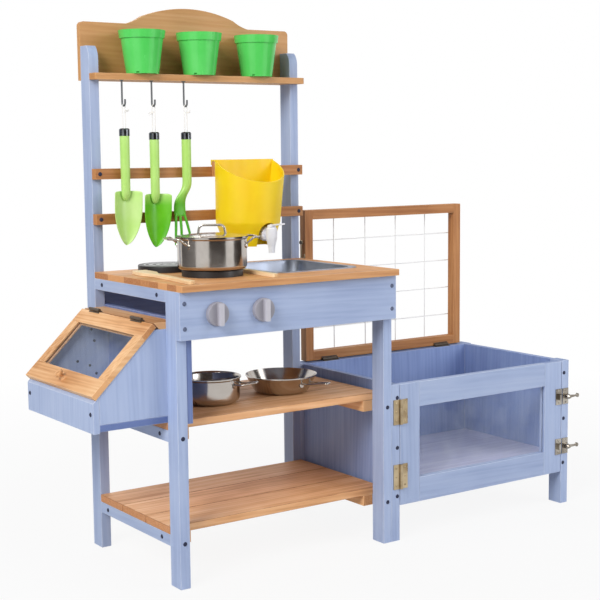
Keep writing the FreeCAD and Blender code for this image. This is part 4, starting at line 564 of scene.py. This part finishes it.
def dress(node):
    """Replaces a node by its solids, one object each, with their finish. A tool keeps only its cap."""
    slot = SLOT_OF[node]
    finish = OWN_FINISH.get(node) or SLOT_FINISH[slot]
    wooden = isinstance(finish, list)
    points, found = solids(node)
    for count, (spot, faces) in enumerate(sorted((centre_of(points, faces), faces) for faces in found)):
        if node in TOOLS and spot[Z] < CAP_FROM:
            continue
        ease = BOARD_EDGE if wooden and len(faces) < MOST_BOARD_FACES else 0.0
        mesh = solid_mesh(node, points, faces, ease)
        look = finish[grain_axis(node, mesh)] if wooden else look_of(node, spot, finish)
        if node in TRIMS:
            hinge, along, way = TRIMS[node]
            if all(abs(spot[i] / MM - hinge[i]) < NEAR_HINGE for i in range(3) if i != along):
                trim(mesh, hinge + way * LIP, way)
        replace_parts(show("{}_{}".format(node, count), mesh, look, BODY_OF[node], bool(ease)), node)


# Strings of the tools: body, middle of the hook in the kitchen's millimetres, drop from it, real length,
# and the side and height to which the knot's loose ends point
STRINGS = {"string_loop_light": ("trowel_light", 57, 42, 0.105, 1, 1),
           "string_loop_green": ("trowel_green", 120, 49, 0.119, -1, -1),
           "string_loop_fork": ("hand_fork", 190, 49, 0.119, 1, 1)}

for name in sorted(frame["nodes"]):
    if name not in STRINGS and name != "back_apron":
        dress(name)


def prism(name, outline, near, far, finish, body):
    """A board from its outline in X and Z, between two places along Y, in millimetres."""
    count = len(outline)
    points = [(x * MM, y * MM, z * MM) for y in (near, far) for x, z in outline]
    faces = [list(range(count)), list(range(2 * count - 1, count - 1, -1))]
    faces += [[(k + 1) % count, k, k + count, (k + 1) % count + count] for k in range(count)]
    return show(name, solid_mesh(name, points, faces, BOARD_EDGE), finish, body, board=True)


# The back apron is as deep as the front one and notched round the bin's back panel, in millimetres
BACK_APRON = [(36.8, 525.0), (-395.2, 525.0), (-395.2, 474.0), (-383.2, 474.0), (-383.2, 433.0),
              (36.8, 433.0)]
APRON_NEAR, APRON_FAR = 168.0, 182.0
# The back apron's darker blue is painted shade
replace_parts(prism("back_apron_deep", BACK_APRON, APRON_NEAR, APRON_FAR, PAINTED_SHADE_BLUE[X], "frame"),
            "back_apron")


def circle(steps):
    """The directions of points round a circle, two numbers each."""
    turns = [2 * math.pi * k / steps for k in range(steps)]
    return [(math.cos(turn), math.sin(turn)) for turn in turns]


def join(made, rings):
    """Faces from each ring of points to the next."""
    for first, second in zip(rings, rings[1:]):
        for k in range(len(first)):
            after = (k + 1) % len(first)
            made.faces.new((first[k], first[after], second[after], second[k]))


def close(made, rings):
    """Faces over both ends of a row of rings."""
    made.faces.new(rings[-1])
    made.faces.new(rings[0][::-1])


def swept(made, ovals, steps):
    """A closed tube through ovals, each a middle, a half width and a half depth in millimetres."""
    rings = [[made.verts.new(Vector((x + wide * right, y + deep * back, z)) * MM)
              for right, back in circle(steps)] for x, y, z, wide, deep in ovals]
    join(made, rings)
    close(made, rings)


def rounded(name, mesh, finish, node, sheet=0.0):
    """A piece that is smoothed by subdivision, after a mesh without thickness is given one."""
    piece = show(name, mesh, finish, BODY_OF[node])
    if sheet:
        solid = piece.modifiers.new("sheet", "SOLIDIFY")
        solid.thickness = sheet
        solid.offset = 0.0
    piece.modifiers.new("round", "SUBSURF").render_levels = 2
    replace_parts(piece, node)


# A trowel's blade, in millimetres. It tapers to a round tip, leans and is dished, has a bed for the handle's
# tongue at its top and a soft fall at each shoulder
BLADE_LENGTH, BLADE_HALF, BLADE_BACK = 104.0, 29.2, 126.0
BLADE_SHEET = 2.2 * MM
BLADE_COLUMNS, BLADE_ROWS = 14, 16
TAPER_FROM, TAPER_POWER, TIP_POWER = 0.28, 2.2, 0.75
BLADE_LEAN, BLADE_DISH = 4.0, 18.0
BED_DEPTH, BED_HALF, BED_END = 3.0, 8.0, 0.3
SHOULDER_FALL, SHOULDER_POWER, SHOULDER_FADE = 2.5, 9, 8.0
SAME_SPOT = 0.01 * MM


def blade_point(x, top, u, v):
    """A point of the blade's sheet, where u goes from -1 to 1 across it and v from 0 to 1 down it."""
    past = max(0.0, (v - TAPER_FROM) / (1.0 - TAPER_FROM))
    side = BLADE_HALF * (1.0 - past ** TAPER_POWER) ** TIP_POWER * u
    bed = BED_DEPTH * math.exp(-(side / BED_HALF) ** 2) * max(0.0, 1.0 - v / BED_END)
    depth = BLADE_BACK - BLADE_LEAN * v - BLADE_DISH * math.sqrt(1.0 - v) * u * u + bed
    fall = SHOULDER_FALL * abs(u) ** SHOULDER_POWER * max(0.0, 1.0 - SHOULDER_FADE * v)
    return Vector((x + side, depth, top - BLADE_LENGTH * v - fall)) * MM


def trowel_blade(node, x, top):
    """A dished blade, widest at its shoulders."""
    made = bmesh.new()
    rows = [[made.verts.new(blade_point(x, top, 2.0 * column / BLADE_COLUMNS - 1.0, row / BLADE_ROWS))
             for column in range(BLADE_COLUMNS + 1)] for row in range(BLADE_ROWS + 1)]
    for upper, lower in zip(rows, rows[1:]):
        for k in range(BLADE_COLUMNS):
            made.faces.new((upper[k], lower[k], lower[k + 1], upper[k + 1]))
    bmesh.ops.remove_doubles(made, verts=made.verts, dist=SAME_SPOT)
    rounded(node + "_blade", as_mesh(node, made), TOOLS[node], node, BLADE_SHEET)


def tool_body(name, tubes, finish, node):
    """A moulded body of one or more closed tubes, each with its number of steps round it."""
    made = bmesh.new()
    for ovals, steps in tubes:
        swept(made, ovals, steps)
    bmesh.ops.recalc_face_normals(made, faces=made.faces)
    rounded(name, as_mesh(name, made), finish, node)


# Trowels: the middle across and the top of the blade. Their handles, from the cap down to the rounded end of
# the tongue: height over the blade's top, half width, half depth and shift to the back
TROWELS = {"trowel_light": (-358.15, 688.8), "trowel_green": (-295.15, 681.8)}
TOOL_MIDDLE = 121.0
TONGUE = ((107.0, 9.2, 9.2, 0.0), (105.0, 9.3, 9.3, 0.0), (60.0, 9.1, 9.2, 0.0), (26.0, 8.7, 8.7, 0.0),
          (8.0, 9.0, 8.0, 0.0), (-3.0, 9.2, 6.8, -0.8), (-10.0, 8.2, 5.2, 0.0), (-16.0, 5.6, 3.6, 1.0),
          (-19.0, 2.4, 1.8, 2.0))
HANDLE_STEPS = 28
for node, (x, top) in TROWELS.items():
    trowel_blade(node, x, top)
    handle = [(x, TOOL_MIDDLE + shift, top + height, wide, deep) for height, wide, deep, shift in TONGUE]
    tool_body(node + "_handle", [(handle, HANDLE_STEPS)], HANDLE, node)

# The fork: a handle cranked to one side with a dished palm, as ovals, and three tines that spread, each with
# its root, its middle and its tip in X and Z
CRANK = ((-225.15, 121.0, 788.5, 9.2, 9.2), (-225.15, 121.0, 786.5, 9.3, 9.3),
         (-225.15, 121.0, 740.0, 9.2, 9.2), (-225.15, 121.0, 712.0, 9.0, 9.0),
         (-224.6, 121.0, 701.0, 9.2, 8.6), (-226.5, 121.3, 691.0, 9.4, 7.6),
         (-232.5, 122.0, 681.0, 9.6, 6.0), (-238.5, 122.8, 672.0, 11.0, 4.6),
         (-241.5, 123.0, 662.0, 12.4, 3.4), (-242.0, 122.4, 650.0, 13.2, 2.6),
         (-241.6, 121.4, 640.0, 13.0, 2.4), (-241.4, 121.0, 636.0, 11.6, 1.8))
TINES = (((-250.8, 641.0), (-253.4, 612.0), (-254.0, 580.5)),
         ((-241.6, 641.0), (-241.2, 612.0), (-240.4, 578.5)),
         ((-232.4, 641.0), (-225.4, 612.0), (-217.4, 580.5)))
# A tine's ovals: which of its places each is at, its rise over it, its depth, half width and half depth
TINE_OVALS = ((0, 4.0, 121.4, 2.0, 1.2), (0, 0.0, 121.4, 3.2, 2.3), (1, 0.0, 117.2, 3.0, 2.3),
              (2, 4.0, 119.4, 2.2, 1.9), (2, 0.0, 119.8, 1.0, 0.9))
TINE_STEPS = 12
tines = [[(tine[at][0], depth, tine[at][1] + rise, wide, deep) for at, rise, depth, wide, deep in TINE_OVALS]
         for tine in TINES]
tool_body("hand_fork_body", [(CRANK, HANDLE_STEPS)] + [(ovals, TINE_STEPS) for ovals in tines],
          TOOLS["hand_fork"], "hand_fork")

# Strings, in millimetres of the kitchen: half the loop, the tools' hooks, and where the loop is led straight
STRING_DIAMETER = 1.6 * MM
LOOP_HALF = 2.85
HOOK_TOP = 847.75
HOOK_LINE = 281.0
SEAT = 6.0
NEAR_HOOK = 7.0
# The knot: how far up the loop it is, its size and string, and its loose ends, each as two points: to the
# side, in depth and in height
KNOT_SHARE, KNOT_SIZE, KNOT_STRING, KNOT_STEPS, KNOT_DEPTH = 0.75, 0.75, 0.9, 18, 0.8
LOOSE_START = ((7.0, -1.5, 5.0), (3.0, -1.5, 2.0))
LOOSE_END = ((4.0, 1.0, 0.0), (8.0, 1.0, 1.5))


def tube(name, points, diameter):
    """A round tube on one smooth open curve."""
    data = bpy.data.curves.new(name, "CURVE")
    data.dimensions = "3D"
    data.bevel_depth = diameter / 2
    data.bevel_resolution = 3
    data.use_fill_caps = True
    spline = data.splines.new("NURBS")
    spline.points.add(len(points) - 1)
    for point, spot in zip(spline.points, points):
        point.co = (*spot, 1.0)
    spline.order_u = 3
    spline.use_endpoint_u = True
    spline.resolution_u = 10
    made = bpy.data.objects.new(name, data)
    bpy.context.scene.collection.objects.link(made)
    data.materials.append(STRING)
    return made


def knot(name, centre, side, rise):
    """A small overhand knot with two loose ends."""
    def loose(ends):
        return [centre + Vector((side * out, depth, rise * up)) * MM for out, depth, up in ends]
    turns = [2 * math.pi * step / KNOT_STEPS for step in range(KNOT_STEPS)]
    points = [centre + Vector((math.sin(t) + 2 * math.sin(2 * t), -math.sin(3 * t) * KNOT_DEPTH,
                               math.cos(t) - 2 * math.cos(2 * t))) * KNOT_SIZE * MM for t in turns]
    return tube(name, loose(LOOSE_START) + points + loose(LOOSE_END), STRING_DIAMETER * KNOT_STRING)


def string_loop(node, body, x, drop, length, side, rise):
    """The white string from a tool's cap over its hook and back, with its knot."""
    low = HOOK_TOP - drop
    route = [place(x + shift, HOOK_LINE, low + height) for shift, height in (
        (-LOOP_HALF, -SEAT), (-LOOP_HALF, drop - NEAR_HOOK), (-LOOP_HALF, drop + LOOP_HALF),
        (LOOP_HALF, drop + LOOP_HALF), (LOOP_HALF, drop - NEAR_HOOK), (LOOP_HALF, -SEAT))]
    loop = tube(node + "_cord", route, STRING_DIAMETER)
    tie = knot(node + "_knot", place(x + side * LOOP_HALF, HOOK_LINE, low + drop * KNOT_SHARE), side, rise)
    for piece in (loop, tie):
        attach(piece, body)
    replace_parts(loop, node)


for node, facts in STRINGS.items():
    string_loop(node, *facts)

# Screws: the rings of the domed head, as shares of its radius and height, and its cross recess
HEAD_STEPS = 24
DOME = ((1.0, 0.0), (0.96, 0.45), (0.8, 0.8), (0.55, 1.0))
DOME_HEIGHT = 0.32
CROSS_ARM, CROSS_WAIST = 0.5, 0.16
CROSS = [CROSS_ARM if k % 6 in (0, 1, 5) else CROSS_WAIST for k in range(HEAD_STEPS)]
CROSS_LEVELS = (1.0, 0.25)
FRONT = (0, -1, 0)


def screw_head(name, spot, radius, body, finish=BRASS):
    """A low domed head with a cross recess that looks to the front, its back at a spot in millimetres."""
    made = bmesh.new()
    rise = radius * DOME_HEIGHT
    profile = [([share] * HEAD_STEPS, height) for share, height in DOME]
    profile += [(CROSS, height) for height in CROSS_LEVELS]
    rings = [[made.verts.new((radius * share * right, radius * share * up, rise * height))
              for share, (right, up) in zip(shares, circle(HEAD_STEPS))] for shares, height in profile]
    join(made, rings)
    close(made, rings)
    turn = Vector(FRONT).to_track_quat("Z", "Y").to_matrix().to_4x4()
    made.transform(Matrix.Translation([value * MM for value in spot]) @ turn)
    return show(name, as_mesh(name, made), finish, body)


# Screws in millimetres: depth and height of each row, shifts up and down in it, and places across
LEAF_FACE = -161.5
HINGE_HEIGHTS, HINGE_SHIFTS, HINGE_RADIUS = (("upper", 256), ("lower", 128)), (-17, 0, 17), 2.2 * MM
HINGE_SIDES = (("fixed", 67.6, "frame"), ("moving", 89.2, "door"))
LATCH_HEIGHTS, LATCH_SHIFTS, LATCH_RADIUS = (("upper", 234), ("lower", 126)), (-13, 13), 2.0 * MM
LATCH_SIDES = (("keeper", 511.8, "door"), ("plate", 531.8, "frame"))
for kind, heights, shifts, sides, radius, finish in (
        ("door_hinge", HINGE_HEIGHTS, HINGE_SHIFTS, HINGE_SIDES, HINGE_RADIUS, BRASS),
        ("latch", LATCH_HEIGHTS, LATCH_SHIFTS, LATCH_SIDES, LATCH_RADIUS, LATCH)):
    for level, height in heights:
        for count, shift in enumerate(shifts):
            for side, x, body in sides:
                screw_head("{}_screw_{}_{}_{}".format(kind, level, side, count),
                           (x, LEAF_FACE, height + shift), radius, body, finish)

# Screws seen inside the bin on its far wall, in X and Z, dark navy as painted shade
BIN_WALL_FACE, BIN_SCREW_RADIUS = 134.9, 2.6 * MM
BIN_SCREWS = ((-425.6, 408.0), (-431.0, 430.0), (-423.0, 345.5), (-436.0, 362.0), (-461.0, 372.0))
for count, (x, z) in enumerate(BIN_SCREWS):
    screw_head("bin_inside_screw_{}".format(count), (x, BIN_WALL_FACE, z), BIN_SCREW_RADIUS, "frame",
               SCREW_PAINTED_SHADE)

# The tap's nut in millimetres, close behind its body and ribbed round its rim: radius and depth of each ring
NUT_STEPS = 48
NUT_X, NUT_Z = -90.15, 599.0
NUT_BORE, RIB_DEPTH = 7.3, 0.7
NUT_RINGS = ((NUT_BORE, 41.0), (12.2, 41.0), (14.0, 42.6), (14.0, 56.6), (12.6, 58.0), (NUT_BORE, 58.0))


def tap_nut():
    """The nut's mesh."""
    made = bmesh.new()
    rings = []
    for radius, depth in NUT_RINGS:
        reach = [radius - (RIB_DEPTH if k % 4 < 2 and radius > NUT_BORE else 0.0) for k in range(NUT_STEPS)]
        rings.append([made.verts.new(Vector((NUT_X + out * right, depth, NUT_Z + out * up)) * MM)
                      for out, (right, up) in zip(reach, circle(NUT_STEPS))])
    join(made, rings + rings[:1])
    bmesh.ops.recalc_face_normals(made, faces=made.faces)
    return as_mesh("tap_nut", made)


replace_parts(show("tap_nut", tap_nut(), TAP, BODY_OF["tap_body"]), "tap_body")

# The floor: its size and tones, and the distances between which its own light turns fully to white
FLOOR_RADIUS, FLOOR_ROUGH, SPECK_SCALE = 30.0, 0.7, 3.0
FLOOR_TONES = ((0.6, 0.6, 0.6, 1.0), (0.64, 0.64, 0.64, 1.0))
FADE = (0.7, 2.0, 0.9, 1.0)
# The strength of the even light that comes from all round
LEVEL = 0.33
# Cards beside the view, which reflections alone meet, so that polished metal has its bands. Each has the
# direction in which it stands, its width and height, the height of its middle, and its finish
CARD_DISTANCE = 3.0
CARDS = (("flag_near", 0.3, 3.0, 2.6, 1.2, FLAG), ("flag_right", -1.05, 2.2, 2.6, 1.2, FLAG),
         ("flag_left", 2.0, 3.4, 2.6, 1.2, GREY_FLAG), ("flag_back", 3.75, 3.6, 1.3, 1.75, GREY_FLAG))
# Soft lamps: place, point that they face, size, power and tint
LAMPS = (("key", (-2.8, -1.3, 2.3), (0.0, 0.0, 0.5), 1.5, 90.0, (1.0, 0.99, 0.97)),
         ("fill", (1.9, -2.4, 1.6), (0.0, 0.0, 0.5), 2.0, 47.0, (0.97, 0.98, 1.0)),
         ("rim", (0.6, 2.4, 2.2), (0.0, 0.0, 0.6), 1.8, 20.0, (1.0, 1.0, 1.0)))
# The photograph's camera, solved from the object's corners: turns in radians, place, and lens
YAW, PITCH, ROLL = 0.6084016849, -0.1169537188, -0.0098513731
CAMERA_SPOT = (-1.504448, -2.095761, 0.769076)
SENSOR_WIDTH, LENS = 36.0, 78.476


def add_floor():
    """A pale floor that keeps the object's shadow and fades into the background."""
    bpy.ops.mesh.primitive_circle_add(vertices=64, radius=FLOOR_RADIUS, fill_type="NGON")
    floor = bpy.context.object
    floor.name = "floor"
    made = Finish("floor_pale", FLOOR_ROUGH)
    made.colour(made.mix(made.noise(made.where["Object"], SPECK_SCALE), *FLOOR_TONES))
    glow = made.node("Emission", {"Color": WHITE, "Strength": 1.0})
    away = made.span(made.vector("LENGTH", made.where["Object"]), *FADE)
    blend = made.node("MixShader", {0: made.calc("MULTIPLY", made.seen(), away), 1: made.shader.outputs[0],
                                    2: glow.outputs[0]})
    made.feed(made.output, "Surface", blend.outputs[0])
    floor.data.materials.append(made.material)


def add_world():
    """An even pale light that is seen as white."""
    world = bpy.data.worlds.new("studio")
    bpy.context.scene.world = world
    made = Nodes(world)
    strength = made.span(made.seen(), 0.0, 1.0, LEVEL, 1.0)
    light = made.node("Background", {"Color": WHITE, "Strength": strength})
    made.node("OutputWorld", {"Surface": light.outputs[0]})


def add_card(name, azimuth, width, height, middle, finish):
    """A card that faces the object and is hidden from all but reflections."""
    made = bmesh.new()
    bmesh.ops.create_grid(made, x_segments=4, y_segments=4, size=0.5)
    made.transform(Matrix.Diagonal((width, height, 1.0, 1.0)))
    mesh = as_mesh(name, made)
    card = bpy.data.objects.new(name, mesh)
    bpy.context.scene.collection.objects.link(card)
    way = Vector((-math.sin(azimuth), -math.cos(azimuth), 0.0))
    turn = (-way).to_track_quat("Z", "Y").to_matrix().to_4x4()
    card.matrix_world = Matrix.Translation(way * CARD_DISTANCE + Vector((0, 0, middle))) @ turn
    mesh.materials.append(finish)
    for ray in ("camera", "diffuse", "transmission", "volume_scatter", "shadow"):
        setattr(card, "visible_" + ray, False)


def add_lamp(name, spot, aim, size, power, tint):
    data = bpy.data.lights.new(name, "AREA")
    data.size = size
    data.energy = power
    data.color = tint
    lamp = bpy.data.objects.new(name, data)
    bpy.context.scene.collection.objects.link(lamp)
    way = Vector(aim) - Vector(spot)
    lamp.matrix_world = Matrix.Translation(spot) @ way.to_track_quat("-Z", "Y").to_matrix().to_4x4()


def add_camera():
    """A camera at the photograph's place, turned by its yaw, pitch and roll."""
    forward = Vector((math.sin(YAW) * math.cos(PITCH), math.cos(YAW) * math.cos(PITCH), math.sin(PITCH)))
    level = Vector((math.cos(YAW), -math.sin(YAW), 0.0))
    above = level.cross(forward)
    right = level * math.cos(ROLL) + above * math.sin(ROLL)
    up = above * math.cos(ROLL) - level * math.sin(ROLL)
    data = bpy.data.cameras.new("camera")
    data.sensor_width = SENSOR_WIDTH
    data.lens = LENS
    camera = bpy.data.objects.new("camera", data)
    bpy.context.scene.collection.objects.link(camera)
    turn = Matrix((right, up, -forward)).transposed().to_4x4()
    camera.matrix_world = Matrix.Translation(CAMERA_SPOT) @ turn
    bpy.context.scene.camera = camera


add_floor()
add_world()
for card in CARDS:
    add_card(*card)
for lamp in LAMPS:
    add_lamp(*lamp)
add_camera()
bpy.context.scene.view_settings.view_transform = "Standard"
